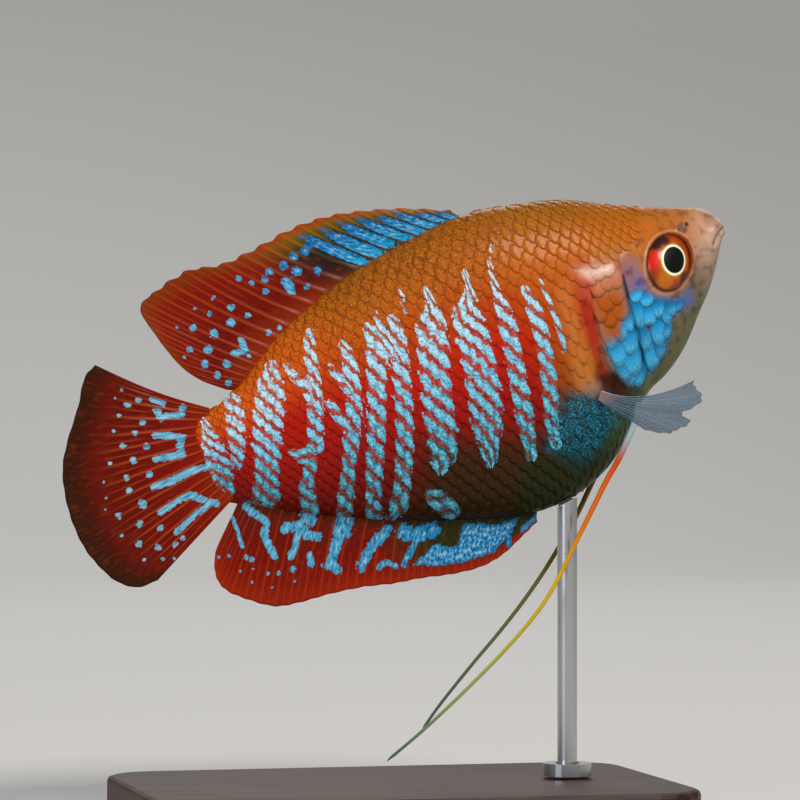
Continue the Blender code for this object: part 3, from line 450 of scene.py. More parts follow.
# The last spot, dark in the front nostril's pit, is painted shade.
SPOTS = ((13.3, -2.9, 0.42, "#6c140c"), (5.0, 5.8, 0.6, "#74503c"), (4.2, 6.0, 0.26, "#4c2c20"))
SHEEN = ((0.0, "#107c90"), (0.3, "#2098b4"), (0.5, "#68bcdc"), (0.7, "#acd8ec"), (0.9, "#bcd0dc"))


def level_of(s, z):
    """0 at the belly and 1 at the back."""
    middle, tall, _ = body_at(s)
    return np.clip((z - middle) / np.maximum(tall, 0.1) / 2 + 0.5, 0.0, 1.0)


def ground(s, z):
    """Colour of the body between its bright patches."""
    level = level_of(s, z)
    colour = ramp(FLANK, level)
    colour = mix(colour, ramp(SHOULDER, level), smooth(29.0, 22.0, s))
    colour = mix(colour, ramp(REAR_FLANK, level), smooth(42.0, 56.0, s))
    behind = s - line_at(GILL_KEYS, z)
    head = np.maximum(smooth(1.2, -0.2, behind) * smooth(12.0, 6.0, z),
                      smooth(19.0, 11.0, s) * smooth(3.0, 7.0, z))
    colour = mix(colour, ramp(HEAD, level), head)
    colour = mix(colour, ramp(SNOUT, level), smooth(6.5, 1.5, s))
    for points, tint, edge, share in AREAS:
        colour = mix(colour, tint, smooth(-edge, edge, inside(points, s, z)) * share)
    for points, tint, half, share in STRIPES:
        colour = mix(colour, tint, smooth(half * 1.5, half * 0.5, distance(points, s, z)) * share)
    for place, height, radius, tint in SPOTS:
        away = np.hypot(s - place, z - height)
        colour = mix(colour, tint, smooth(radius * 1.25, radius * 0.75, away) * 0.9)
    return colour


def orbit_tint(spots, colour):
    """Browns the fleshy rim round each eye, and paints shade into the socket under the eyeball's edge."""
    for side in (1, -1):
        away = eye_distance(spots, side)[1]
        colour = mix(colour, "#c09478", np.exp(-((away - 1.12) / 0.035) ** 2) * 0.8)
        colour = mix(colour, "#8c4414", smooth(1.09, 1.05, away) * 0.95)
        # Painted shade: the socket under the eyeball's edge is darkened almost to black.
        colour = mix(colour, "#281004", smooth(0.99, 0.94, away))
    return colour


def bar_place(s, z):
    """Place in the nearest bar: across its columns and down its rows, and depth inside it."""
    depth, across, down = np.full(len(s), -9.0), np.zeros(len(s)), np.zeros(len(s))
    for bar in BARS:
        path = smooth_rows(bar, np.linspace(0, 1, 4 * len(bar)))
        steps = np.hypot(*np.diff(path[:, :2], axis=0).T)
        rows = np.concatenate([[0.0], np.cumsum(steps / curve(ROW_HEIGHTS, path[1:, 0]))]) + bar[0][0]
        columns = max(1, round(2 * path[:, 2].max() / PATCH_WIDTH))
        middle = 0.5 * PATCH_WIDTH if columns % 2 == 0 else 0.0
        for start, end, step, first, last in zip(path, path[1:], steps, rows, rows[1:]):
            ds, dz = (end[:2] - start[:2]) / step
            back, up = s - start[0], z - start[1]
            t = np.clip((back * ds + up * dz) / step, 0.0, 1.0)
            share = np.hypot(back - t * step * ds, up - t * step * dz) / (start[2] + (end[2] - start[2]) * t)
            closer = 1 - share > depth
            depth = np.where(closer, 1 - share, depth)
            column = np.sign(up * ds - back * dz) * share * columns / 2 * PATCH_WIDTH + middle
            across = np.where(closer, column, across)
            down = np.where(closer, (first + (last - first) * t) * PATCH_ROW, down)
    return np.column_stack([across, down, np.maximum(depth, -1.0)])


def mark_body(mesh, spots, s, z):
    """The same markings on skin and scales."""
    level = level_of(s, z)
    set_layer(mesh, "paint", orbit_tint(spots, ground(s, z)))
    set_layer(mesh, "sheen", ramp(SHEEN, level))
    set_layer(mesh, "bar_place", bar_place(s, z))
    specks = smooth(0.62, 0.85, level) * smooth(-2.0, 3.0, shoulder_depth(s, z))
    throat = smooth(-0.5, 1.5, inside(THROAT, s, z)) * smooth(0.0, 1.0, shoulder_depth(s, z))
    cheek = smooth(-0.3, 0.4, inside(CHEEK_BLUE, s, z))
    spot_s, spot_z, spot_radius, _ = SPOTS[0]
    cheek = cheek * smooth(spot_radius * 0.6, spot_radius * 1.3, np.hypot(s - spot_s, z - spot_z))
    # The cheek's blue is held back along the groove, so that the painted shade of the groove shows.
    cheek = cheek * (1 - 0.8 * smooth(0.3, 0.1, np.abs(s - line_at(CHEEK_KEYS, z))))
    set_layer(mesh, "glitter", np.column_stack([specks, throat, cheek]))


# Mesh helpers

VECTOR_LAYERS = ("bar_place", "glitter", "cell", "fin_place", "eye_place")


def set_layer(mesh, name, values):
    """Stores a vector or a colour for each vertex."""
    values = np.asarray(values, float)
    if name in VECTOR_LAYERS:
        mesh.attributes.new(name, "FLOAT_VECTOR", "POINT").data.foreach_set("vector", values.ravel())
        return
    rgba = np.column_stack([values, np.ones(len(values))])
    mesh.attributes.new(name, "FLOAT_COLOR", "POINT").data.foreach_set("color", rgba.ravel())


def vertex_array(mesh):
    spots = np.empty(len(mesh.vertices) * 3)
    mesh.vertices.foreach_get("co", spots)
    return spots.reshape(-1, 3)


def place_vertices(piece, spots):
    piece.data.vertices.foreach_set("co", np.asarray(spots).ravel())
    piece.data.update()


def finish_piece(piece, slot, material, *nodes):
    """Gives the piece its material and smooth shading, rides it on the model, and hides the solids it covers."""
    piece.data.materials.clear()
    piece.data.materials.append(material)
    piece.data.polygons.foreach_set("use_smooth", [True] * len(piece.data.polygons))
    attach(piece, "root")
    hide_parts(*nodes)


def ball(name, segments, rings):
    """A ball to be reshaped: the piece, each vertex's share from pole to pole, and its turn."""
    bpy.ops.mesh.primitive_uv_sphere_add(segments=segments, ring_count=rings, radius=1.0)
    piece = bpy.context.object
    piece.name = name
    spots = vertex_array(piece.data)
    share = np.round(np.arccos(np.clip(spots[:, 2], -1, 1)) / math.pi * rings) / rings
    return piece, share, np.arctan2(spots[:, 1], spots[:, 0])


# Skin

STATIONS = ((0.0, SNOUT_TIP), (0.03, 0.0), (0.3, 8.0), (0.56, 19.0), (0.62, 21.0), (1.0, BODY_END))


def make_skin(material):
    """One skin from snout to tail, with rings closest together over the head."""
    skin, share, turn = ball("fish_skin", 264, 350)
    s = np.interp(share, [a for a, _ in STATIONS], [b for _, b in STATIONS])
    side = np.where(np.cos(turn) >= 0, 1.0, -1.0)
    lift = np.arcsin(np.sin(turn))
    spots = surface(s, lift, side)
    z = spots[:, 2]
    height = head_relief(s, z) * smooth(24.0, 20.0, s) * np.abs(np.cos(turn)) ** 0.2
    height = (height + root_swelling(s, z) - inset(s, z)) * smooth(SNOUT_TIP, 0.1, s)
    plain = spots + surface_normals(s, lift, side) * height[:, None]
    spots = plain
    for eye_side in (1, -1):
        spots = sink_orbit(spots, eye_side)
    place_vertices(skin, to_world(spots))
    mark_body(skin.data, plain, s, z)
    finish_piece(skin, "skin", material, "head", "lower_jaw", "gill_cover_left",
                 "gill_cover_right", "trunk", "tail_stalk")


# Scales

def plate_pattern():
    """One scale: along 0 to 1, across -1 to 1, height 0 or 1 (top), its faces, and which are smooth."""
    long_cells, tall_cells = 4, 5
    row = tall_cells + 1
    along = [i / long_cells for i in range(long_cells + 1) for _ in range(row)]
    across = [j / tall_cells * 2 - 1 for _ in range(long_cells + 1) for j in range(row)]
    faces = []
    for i in range(long_cells):
        for j in range(tall_cells):
            a = i * row + j
            faces.append((a, a + 1, a + row + 1, a + row))
    edge = list(range(row)) + [i * row + tall_cells for i in range(1, long_cells + 1)]
    edge += [long_cells * row + j for j in range(tall_cells - 1, -1, -1)]
    edge += [i * row for i in range(long_cells - 1, 0, -1)]
    first = len(along)
    top = [1.0] * first + [0.0] * len(edge)
    along += [along[index] for index in edge]
    across += [across[index] for index in edge]
    smooth_shaded = [True] * len(faces)
    for k, index in enumerate(edge):
        after = (k + 1) % len(edge)
        faces.append((edge[after], index, first + k, first + after))
    faces.append(tuple(first + k for k in reversed(range(len(edge)))))
    smooth_shaded += [False] * (len(faces) - len(smooth_shaded))
    return np.array(along), np.array(across), np.array(top), faces, smooth_shaded


def arc_table(s):
    """Turns and the arc length from the section's middle to each of them, at one station."""
    turns = np.linspace(-math.pi / 2, math.pi / 2, 241)
    spots = surface(np.full_like(turns, s), turns, np.ones_like(turns))
    steps = np.linalg.norm(np.diff(spots, axis=0), axis=1)
    arc = np.concatenate([[0.0], np.cumsum(steps)])
    return turns, arc - np.interp(0.0, turns, arc)


def scale_places():
    """Roots of the flank's scales: place, arc across, length, height, and the section's arcs."""
    s, column, found = 6.4, 0, []
    while s < 62.4:
        size = float(curve(SCALE_SIZE, np.array([s]))[0])
        turns, arc = arc_table(s)
        row_step = ROW_STEP * size
        count = int(arc[-1] / row_step) + 2
        for row in range(-count, count + 1):
            middle = (row + (column % 2) / 2) * row_step
            if arc[0] + 0.25 * row_step < middle < arc[-1] - 0.1 * row_step:
                z = surface(np.array([s]), np.interp([middle], arc, turns), np.array([1.0]))[:, 2]
                if flank_depth(np.array([s + 0.5]), z)[0] > 0:
                    found.append((s, middle, SCALE_LONG * size, SCALE_TALL * size, turns, arc, z[0]))
        s += COLUMN_STEP * size
        column += 1
    return found


def flank_plate(root, reach, across):
    """Place, turn, how proud, and cell coordinates of one scale of the flank."""
    s, middle, long, tall, turns, arc, z = root
    above, below = min(tall / 2, arc[-1] - middle), min(tall / 2, middle - arc[0])
    lift = np.interp(middle + across * np.where(across > 0, above, below), arc, turns)
    proud = float(smooth(24.0, 17.0, s) * smooth(2.0, 6.0, z))
    return s + reach * long, lift, proud, (reach * 2 - 1, across)


def head_plate(plate, reach, across):
    """The same for a plate of the cheek or gill cover, whose free end points down and a bit back."""
    s, z, wide, tall, _ = plate
    places = s + (across + 0.3 * (reach - 0.5)) * wide * HEAD_PLATE_SPREAD / 2
    middle, half, _ = body_at(places)
    level = z + tall * HEAD_PLATE_SPREAD * (0.5 - reach)
    lift = np.arcsin(np.clip((level - middle) / half, -1.0, 1.0))
    return places, lift, 0.6, (across, reach * 2 - 1)


def make_scales(side, material):
    """All the scales of one flank and cheek, joined."""
    along, across, top, faces, smooth_shaded = plate_pattern()
    rng = np.random.default_rng(SEED + side)
    taper = across * (1 - 0.25 * (1 - np.sin(math.pi * np.clip(along + 0.1, 0, 1))))
    reach = along * (1 - 0.3 * across ** 2) + 0.1 * across ** 2
    flank = scale_places()
    spots, cells, roots = [], [], []
    for plate in flank + list(HEAD_PLATES):
        on_head = len(plate) == len(HEAD_PLATES[0])
        places, lift, proud, cell = (head_plate if on_head else flank_plate)(plate, reach, taper)
        sign = np.full_like(lift, float(side))
        base = surface(places, lift, sign)
        edge = FLAT_EDGE + (PROUD_EDGE - FLAT_EDGE) * proud + rng.uniform(-0.006, 0.006)
        height = -0.06 + (0.06 + edge) * along ** 0.8
        height += (0.006 + 0.035 * proud) * (1 - across ** 2) * np.sin(math.pi * along)
        height = np.where(top > 0, height, height - 0.07 - 0.02 * (1 - along)) - inset(places, base[:, 2])
        height += gill_swelling(places, base[:, 2]) * on_head
        spots.append(base + surface_normals(places, lift, sign) * height[:, None])
        shade = plate[4] if on_head else rng.random()
        cells.append(np.column_stack([*cell, np.full_like(along, shade)]))
        roots.append((plate[0], float(np.mean(lift)) * 10))
    spots = np.concatenate(spots)
    count, corners = len(roots), len(along)
    all_faces = [tuple(i + n * corners for i in face) for n in range(count) for face in faces]
    if side > 0:
        all_faces = [face[::-1] for face in all_faces]
    name = "scales_left" if side > 0 else "scales_right"
    mesh = bpy.data.meshes.new(name)
    mesh.from_pydata(to_world(spots).tolist(), [], all_faces)
    piece = bpy.data.objects.new(name, mesh)
    bpy.context.collection.objects.link(piece)
    mark_body(mesh, spots, -spots[:, 0], spots[:, 2])
    set_layer(mesh, "cell", np.concatenate(cells))
    bake_map(mesh, np.array(roots), along, across, side)
    finish_piece(piece, "skin", material)
    mesh.polygons.foreach_set("use_smooth", smooth_shaded * count)


def bake_map(mesh, roots, along, across, side):
    """Each scale as a small patch at its root's place on an unwrap of the skin."""
    u = (roots[:, 0] + 1) / 70
    v = 0.5 + side * (0.25 + roots[:, 1] / 100)
    u = u[:, None] + 0.003 * (along[None, :] - 0.5)
    v = v[:, None] + 0.0015 * across[None, :]
    vertex_uv = np.column_stack([u.ravel(), v.ravel()])
    layer = mesh.uv_layers.new(name="OFBake")
    index = np.empty(len(mesh.loops), dtype=np.int32)
    mesh.loops.foreach_get("vertex_index", index)
    layer.data.foreach_set("uv", vertex_uv[index].ravel())


# Fins

def folded_sheet(name, columns, rows):
    """A grid folded over at the rim: the piece, across 0 to 1, reach 0 to 1, and which face."""
    bpy.ops.mesh.primitive_grid_add(x_subdivisions=columns, y_subdivisions=2 * rows, size=2.0)
    piece = bpy.context.object
    piece.name = name
    spots = vertex_array(piece.data)
    across = (spots[:, 0] + 1) / 2
    reach = 1 - np.abs(spots[:, 1])
    face = np.where(spots[:, 1] > 1e-6, 1.0, np.where(spots[:, 1] < -1e-6, -1.0, 0.0))
    return piece, across, reach, face


def ray_ridges(ray, reach, branch_from):
    """Height of the rays over the membrane: 1 on a ray, and lower on its branches."""
    main = np.abs((ray + 0.5) % 1 - 0.5)
    half = np.abs((ray * 2 + 0.5) % 1 - 0.5) / 2
    return np.maximum(np.exp(-(main / 0.13) ** 2),
                      0.7 * np.exp(-(half / 0.09) ** 2) * smooth(branch_from, branch_from + 0.15, reach))


def rim_notch(ray, depth):
    """How far the rim is cut back between two rays."""
    return depth * np.sin(math.pi * (ray % 1)) ** 2


def midline_fin(name, keys, rays, root_at, bow, notch, cells, rows):
    """Sheet of a midline fin: the piece, and arrays of its s, z, ray number, reach, face and place across."""
    piece, across, reach, face = folded_sheet(name, (rays - 1) * cells, rows)
    table = smooth_rows(keys, across)
    ray = across * (rays - 1)
    root_s, root_z = root_at(table[:, 0])
    length = np.hypot(table[:, 1] - root_s, table[:, 2] - root_z)
    share = reach * (1 - rim_notch(ray, 1.0) * notch(ray) / np.maximum(length, 0.5))
    s = root_s + (table[:, 1] - root_s) * share + bow * np.sin(math.pi * share) * 0.5
    z = root_z + (table[:, 2] - root_z) * share
    return piece, s, z, ray, share, reach, face, across


def pinched(reach, across):
    """1 over a folded sheet, and 0 round its edges, where both faces meet."""
    rim = np.sqrt(np.clip(1 - reach ** 16, 0, 1))
    return rim * smooth(0.0, 0.012, across) * smooth(1.0, 0.988, across) * smooth(0.0, 0.02, reach)


def sheet_half(ray, reach, across, face, root_half, branch_from=0.45):
    """Half thickness of a fin."""
    ridges = 0.15 * (1 - 0.75 * reach) * ray_ridges(ray, reach, branch_from)
    return face * (0.07 + root_half * np.exp(-reach / 0.07) + ridges) * pinched(reach, across)


def dorsal_root(s):
    return s, body_at(s)[0] + body_at(s)[1] - FIN_SUNK


def anal_root(s):
    return s, body_at(s)[0] - body_at(s)[1] + FIN_SUNK


def tail_root(z):
    return curve(TAIL_LINE, z) - FIN_SUNK, z


def marks(s, z, dots, strokes=()):
    """Field of round dots and broad strokes: 0 at their edges, and over 0 inside."""
    field = np.full(np.shape(s), -3.0)
    for place, level, radius in dots:
        field = np.maximum(field, 1 - np.hypot(s - place, z - level) / radius)
    for points, half in strokes:
        field = np.maximum(field, 1 - distance(points, s, z) / half)
    return field


def cell_streaks(ray, reach, start, end, half_wide, power=2.0):
    """Field of streaks along the cells between rays, widest in their lower part."""
    t = (reach - start) / np.maximum(end - start, 1e-3)
    across = ((ray % 1) - 0.5) / (half_wide * (1.25 - 0.7 * np.clip(t, 0, 1)))
    return 1 - np.hypot(across, np.abs(2 * t - 1) ** power)


def finish_fin(piece, spots, layers, slot, material, node):
    """Shapes the sheet, and closes it where its two faces meet."""
    place_vertices(piece, to_world(spots))
    for name, values in layers.items():
        set_layer(piece.data, name, values)
    shell = bmesh.new()
    shell.from_mesh(piece.data)
    bmesh.ops.remove_doubles(shell, verts=shell.verts, dist=1e-7)
    bmesh.ops.recalc_face_normals(shell, faces=shell.faces)
    if shell.calc_volume(signed=True) < 0:
        bmesh.ops.reverse_faces(shell, faces=shell.faces)
    shell.to_mesh(piece.data)
    shell.free()
    finish_piece(piece, slot, material, node)


DORSAL_FRONT = ((0.0, "#7c4410"), (0.12, "#3c2414"), (0.25, "#081c20"), (0.6, "#0c2820"), (0.74, "#484c14"),
                (0.9, "#8c6014"), (1.0, "#b03804"))
DORSAL_REAR = ((0.0, "#9c3004"), (0.3, "#780e02"), (0.8, "#8c1402"), (1.0, "#883c08"))
DORSAL_LINES = ((0.0, "#584018"), (0.5, "#30381c"), (0.8, "#a87014"), (1.0, "#c8480c"))
DORSAL_DOTS = (     # place, height, radius
    (44.3, 20.2, 0.33), (45.3, 19.2, 0.65), (46.8, 19.0, 0.55), (47.1, 17.4, 0.6), (48.2, 18.5, 0.55),
    (48.6, 16.7, 0.6), (49.9, 18.5, 0.5), (50.7, 17.9, 0.45), (51.1, 16.6, 0.4), (52.3, 18.0, 0.36),
    (53.4, 19.0, 0.4), (53.9, 14.9, 0.4), (52.6, 12.3, 0.4), (51.2, 12.4, 0.3), (55.4, 16.4, 0.44),
    (56.8, 18.1, 0.27), (57.8, 16.6, 0.36), (59.1, 17.8, 0.22), (56.0, 14.9, 0.5), (58.2, 14.4, 0.55),
    (60.1, 15.9, 0.44), (61.7, 16.6, 0.18), (61.3, 13.9, 0.4), (59.4, 13.1, 0.5), (60.4, 11.8, 0.44),
    (58.1, 10.9, 0.5), (59.5, 10.1, 0.44), (58.7, 8.9, 0.4), (62.2, 13.3, 0.22), (56.6, 11.5, 0.44),
    (55.5, 10.8, 0.3), (44.9, 16.6, 0.5), (46.6, 15.4, 0.4),
)
DORSAL_STROKES = ((((48.4, 16.9), (48.4, 15.6)), 0.5), (((55.6, 12.8), (55.7, 11.5), (57.0, 11.6)), 0.4))


def make_dorsal_fin(material):
    """Hard spines with free tips in front, then the soft rear lobe."""
    def notch(ray):
        return 0.32 * smooth(DORSAL_SPINES + 1.5, DORSAL_SPINES - 1.5, ray) + 0.05

    piece, s, z, ray, share, reach, face, across = midline_fin(
        "dorsal_sheet", DORSAL_KEYS, DORSAL_RAYS, dorsal_root, DORSAL_BOW, notch, 12, 64)
    y = sheet_half(ray, reach, across, face, 0.5) + 0.22 * np.sin(ray * 0.9) * reach ** 2
    rear = smooth(7.5, 11.0, ray)
    streak_start = 0.04 + 0.04 * np.sin(np.floor(ray) * 1.7)
    streak_end = 0.88 + 0.06 * np.sin(np.floor(ray) * 2.9 + 1)
    streaks = cell_streaks(ray, reach, streak_start, streak_end, 0.5, 1.5) - 3 * smooth(7.6, 8.2, ray)
    field = np.maximum(streaks, marks(s, z, DORSAL_DOTS, DORSAL_STROKES))
    blue = ramp(((0.0, "#20b4e4"), (0.4, "#0c90d4"), (0.75, "#0c6cb0")), reach)
    layers = {"paint": mix(ramp(DORSAL_FRONT, reach), ramp(DORSAL_REAR, reach), rear),
              "line": mix(ramp(DORSAL_LINES, reach), "#b03c08", rear),
              "sheen": mix(blue, "#60c0e4", smooth(7.0, 14.0, ray) * 0.9),
              "fin_place": np.column_stack([ray, reach, field])}
    finish_fin(piece, np.column_stack([-s, y, z]), layers, "fin", material, "dorsal_fin")


ANAL_MARKS = (      # blue marks: points, half width
    (((31.4, -17.7), (33.9, -18.6)), 0.4),
    (((35.7, -18.8), (36.1, -19.6)), 0.3),
    (((46.7, -13.6), (45.6, -14.5), (43.5, -14.7)), 0.9),
    (((45.9, -15.2), (47.9, -17.0)), 0.4),
    (((48.3, -12.6), (50.1, -13.6), (51.5, -14.4), (52.6, -15.4)), 0.62),
    (((50.7, -16.2), (49.7, -15.9), (48.9, -16.8)), 0.32),
    (((51.4, -8.6), (52.2, -9.8), (53.2, -11.0)), 1.1),
    (((53.0, -10.8), (54.7, -12.6), (55.6, -13.7), (55.0, -14.6)), 0.6),
    (((55.2, -6.0), (56.0, -8.2)), 0.9),
    (((58.8, -8.2), (57.2, -8.5), (56.9, -9.7), (55.8, -10.4)), 0.6),
    (((57.7, -9.4), (58.5, -10.5), (59.4, -11.3)), 0.42),
    (((57.3, -11.9), (57.6, -13.0)), 0.4),
    (((62.0, -4.3), (61.2, -5.7), (60.4, -6.7), (61.3, -8.1), (61.1, -9.6), (61.1, -10.6)), 0.45),
    (((63.8, -4.8), (63.8, -6.6), (64.0, -8.2)), 0.24),
)
ANAL_FRONT = (
    (47.1, -17.4), (43.8, -16.2), (41.8, -17.4), (39.9, -15.4), (38.1, -16.0), (36.7, -16.9),
    (33.8, -17.1), (35.2, -18.5), (38.1, -19.7), (41.4, -19.4), (44.2, -18.7),
)
ANAL_DOTS = (
    (66.8, -8.3, 0.2), (65.7, -8.6, 0.2), (64.0, -9.5, 0.32), (63.5, -9.9, 0.3), (62.4, -12.0, 0.25),
    (61.3, -12.5, 0.3), (59.6, -12.7, 0.4), (63.8, -10.9, 0.2), (60.0, -14.0, 0.2), (56.1, -13.7, 0.5),
    (65.2, -10.6, 0.18), (64.4, -12.2, 0.16), (62.6, -13.6, 0.16),
)
ANAL_TONES = ((0.0, "#641c02"), (0.35, "#780c02"), (0.75, "#8c1002"), (1.0, "#a82404"))


def make_anal_fin(material):
    piece, s, z, ray, share, reach, face, across = midline_fin(
        "anal_sheet", ANAL_KEYS, ANAL_RAYS, anal_root, ANAL_BOW, lambda ray: 0.08 + 0 * ray, 10, 64)
    y = sheet_half(ray, reach, across, face, 0.5) + 0.2 * np.sin(ray * 0.8 + 1) * reach ** 2
    field = np.maximum(inside(ANAL_FRONT, s, z) / 0.5, marks(s, z, ANAL_DOTS, ANAL_MARKS))
    front = smooth(51.0, 43.0, s) * smooth(0.95, 0.6, reach) * 0.9
    lines = ramp(((0.0, "#8c2c06"), (1.0, "#b03408")), reach)
    layers = {"paint": mix(ramp(ANAL_TONES, reach), "#0c300c", front), "line": mix(lines, "#143c14", front),
              "sheen": ramp(((30.0, "#0868a8"), (44.0, "#1c90c8"), (60.0, "#58b8dc")), s),
              "fin_place": np.column_stack([ray, reach, field])}
    finish_fin(piece, np.column_stack([-s, y, z]), layers, "fin", material, "anal_fin")


TAIL_TONES = ((0.0, "#9c2c04"), (0.2, "#8c1406"), (0.6, "#700a00"), (0.8, "#701002"), (0.9, "#481402"),
              (1.0, "#341c04"))
TAIL_LINES = ((0.0, "#c8540c"), (0.6, "#b84408"), (0.8, "#5c1804"), (1.0, "#381c08"))
TAIL_DOTS = (       # place, height, radius
    (69.9, 12.6, 0.22), (70.9, 12.0, 0.2), (69.9, 10.9, 0.4), (68.6, 10.9, 0.36), (71.3, 10.1, 0.31),
    (69.1, 8.5, 0.4), (72.4, 8.8, 0.22), (70.3, 7.7, 0.36), (72.1, 6.9, 0.4), (69.7, 5.9, 0.4),
    (74.1, 5.7, 0.22), (71.6, 5.0, 0.4), (70.5, 3.0, 0.42), (75.5, 4.1, 0.18), (73.0, 3.6, 0.4),
    (75.9, 2.4, 0.18), (73.2, 2.1, 0.4), (72.4, 0.3, 0.53), (75.3, 0.1, 0.4), (73.5, -1.6, 0.44),
    (71.6, -2.9, 0.4), (74.4, -3.6, 0.4), (75.8, -2.0, 0.22), (72.6, -4.7, 0.4), (74.5, -5.4, 0.22),
    (72.6, -6.1, 0.27), (76.4, 1.3, 0.15), (71.4, -6.5, 0.18), (70.7, -5.1, 0.4), (69.7, -4.8, 0.31),
)
TAIL_STROKES = (    # points, half width
    (((67.2, 10.4), (66.2, 9.5)), 0.32), (((67.2, 9.1), (67.1, 8.2), (64.8, 7.7), (64.4, 8.3)), 0.4),
    (((68.3, 6.7), (65.6, 5.3), (66.3, 4.5), (66.4, 3.5), (69.2, 4.3)), 0.42),
    (((70.6, 1.6), (68.5, 1.4), (66.2, 1.6), (64.2, 1.3)), 0.45),
    (((70.9, -1.3), (68.4, -0.7), (67.1, -0.8), (65.8, -2.1), (64.9, -2.7)), 0.42),
    (((70.1, -4.0), (67.6, -3.0), (65.1, -2.5)), 0.36),
)


def make_tail_fin(material):
    piece, s, z, ray, share, reach, face, across = midline_fin(
        "tail_sheet", TAIL_KEYS, TAIL_RAYS, tail_root, 0.0, lambda ray: 0.06 + 0 * ray, 16, 80)
    root_z = smooth_rows(TAIL_KEYS, across)[:, 0]
    z = z - TAIL_HOLLOW * np.maximum(root_z - TAIL_HOLLOW_FROM, 0.0) * np.sin(math.pi * share)
    y = sheet_half(ray, reach, across, face, 0.35, 0.4) + 0.25 * np.sin(ray * 0.7) * reach ** 2
    layers = {"paint": ramp(TAIL_TONES, reach), "line": ramp(TAIL_LINES, reach),
              "sheen": ramp(((0.0, "#64b8e0"), (0.5, "#7cc4e0"), (1.0, "#84c0d8")), reach),
              "fin_place": np.column_stack([ray, reach, marks(s, z, TAIL_DOTS, TAIL_STROKES)])}
    finish_fin(piece, np.column_stack([-s, y, z]), layers, "fin", material, "caudal_fin")


def make_pectoral(name, node, fan, side, swing, droop, dip, material):
    """A clear fin that leaves the flank on a narrow fleshy stalk and fans out."""
    rays = len(fan)
    piece, across, reach, face = folded_sheet(name, (rays - 1) * 14, 44)
    ends = smooth_rows(fan, across)
    ray = across * (rays - 1)
    start = PECTORAL_ROOT * (1 - 2 * across)
    wrist = dip + 0.25 * start if dip else ends[:, 1] / 2
    length = np.hypot(ends[:, 0], ends[:, 1])
    t = reach * (1 - rim_notch(ray, 0.18) / length)
    forward = ends[:, 0] * (0.9 * t * (1 - t) + t * t)
    level = start * (1 - t) ** 2 + 2 * wrist * t * (1 - t) + ends[:, 1] * t * t
    ripple = 0.35 * np.sin(1.5 * math.pi * t) * side + 0.12 * np.sin(ray * 1.3) * t ** 2
    ridge = ray_ridges(ray, reach, 0.5) * (1 - 0.7 * reach) * 0.12
    thick = face * (0.05 + 0.34 * np.exp(-reach / 0.12) + ridge) * pinched(reach, across)
    turn = Matrix.Rotation(side * swing, 3, "Z") @ Matrix.Rotation(droop, 3, "Y")
    middle, tall, half = body_at(np.array([PECTORAL_S]))
    lift = np.arcsin((PECTORAL_Z - middle) / tall)
    root = surface(np.array([PECTORAL_S]), lift, np.array([float(side)]))[0]
    root[1] -= side * 1.0
    spots = np.column_stack([forward, ripple + thick, level]) @ np.array(turn).T + root
    base = smooth(0.34, 0.1, reach)
    tones = ramp(((0.0, "#b88c88"), (0.3, "#587080"), (1.0, "#3c5870")), reach)
    layers = {"paint": mix(tones, "#c89c94", base),
              "line": ramp(((0.0, "#d0b4b0"), (0.4, "#8ca4b4"), (1.0, "#6c8ca4")), reach),
              "fin_place": np.column_stack([ray, reach, base])}
    finish_fin(piece, spots, layers, "clear_fin", material, node)


# Eyes

IRIS = ((0.5, "#d07c14"), (0.64, "#b44c08"), (0.82, "#983404"), (0.94, "#783008"), (1.0, "#602808"))
IRIS_TINTS = (      # patches of the iris: ahead of the pupil, over it, radius, colour
    (-2.7, 1.2, 1.6, "#d81802"), (-2.0, -1.7, 1.3, "#b86c0c"), (0.2, 2.6, 1.1, "#0c0404"),
    (-1.0, 2.4, 0.9, "#0c0404"), (0.7, -2.4, 1.05, "#0c0604"), (2.4, 1.2, 1.2, "#983c08"),
)


def make_eye(side, material):
    """A flat oval eyeball, with the colours of its iris painted round the pupil."""
    eye, share, turn = ball("eyeball_left" if side > 0 else "eyeball_right", 72, 48)
    away = np.sin(share * math.pi)
    long_way = away * np.cos(turn) * EYE_LONG * EYE_FILL
    short_way = away * np.sin(turn) * EYE_SHORT * EYE_FILL
    ahead = long_way * math.cos(EYE_TILT) - short_way * math.sin(EYE_TILT)
    up = long_way * math.sin(EYE_TILT) + short_way * math.cos(EYE_TILT)
    local = np.column_stack([-up, -side * ahead, np.cos(share * math.pi) * EYE_HALF_DEPTH])
    frame_turn, centre = orbit_frame(side)
    place_vertices(eye, to_world(local @ frame_turn.T + centre))
    if side > 0:
        eye.data.flip_normals()
    iris = ramp(IRIS, away)
    for ahead_at, up_at, radius, tint in IRIS_TINTS:
        iris = mix(iris, tint, smooth(radius, radius * 0.45, np.hypot(ahead - ahead_at, up - up_at)) * 0.92)
    set_layer(eye.data, "paint", mix(iris, "#401c08", smooth(0.92, 0.99, away)))
    set_layer(eye.data, "eye_place", np.column_stack([long_way / RING_LONG, short_way / RING_SHORT, up * 0]))
    finish_piece(eye, "eye", material, "eye_left" if side > 0 else "eye_right")


# Feelers

RIGHT_TONES = ((0.0, "#9cb8c0"), (0.14, "#98b0b4"), (0.2, "#d04c04"), (0.4, "#d46c08"), (0.55, "#d0a414"),
               (0.7, "#b8a824"), (0.85, "#84985c"), (1.0, "#485c64"))
LEFT_TONES = ((0.0, "#847060"), (0.2, "#684810"), (0.5, "#68581c"), (0.75, "#586840"), (1.0, "#485c5c"))


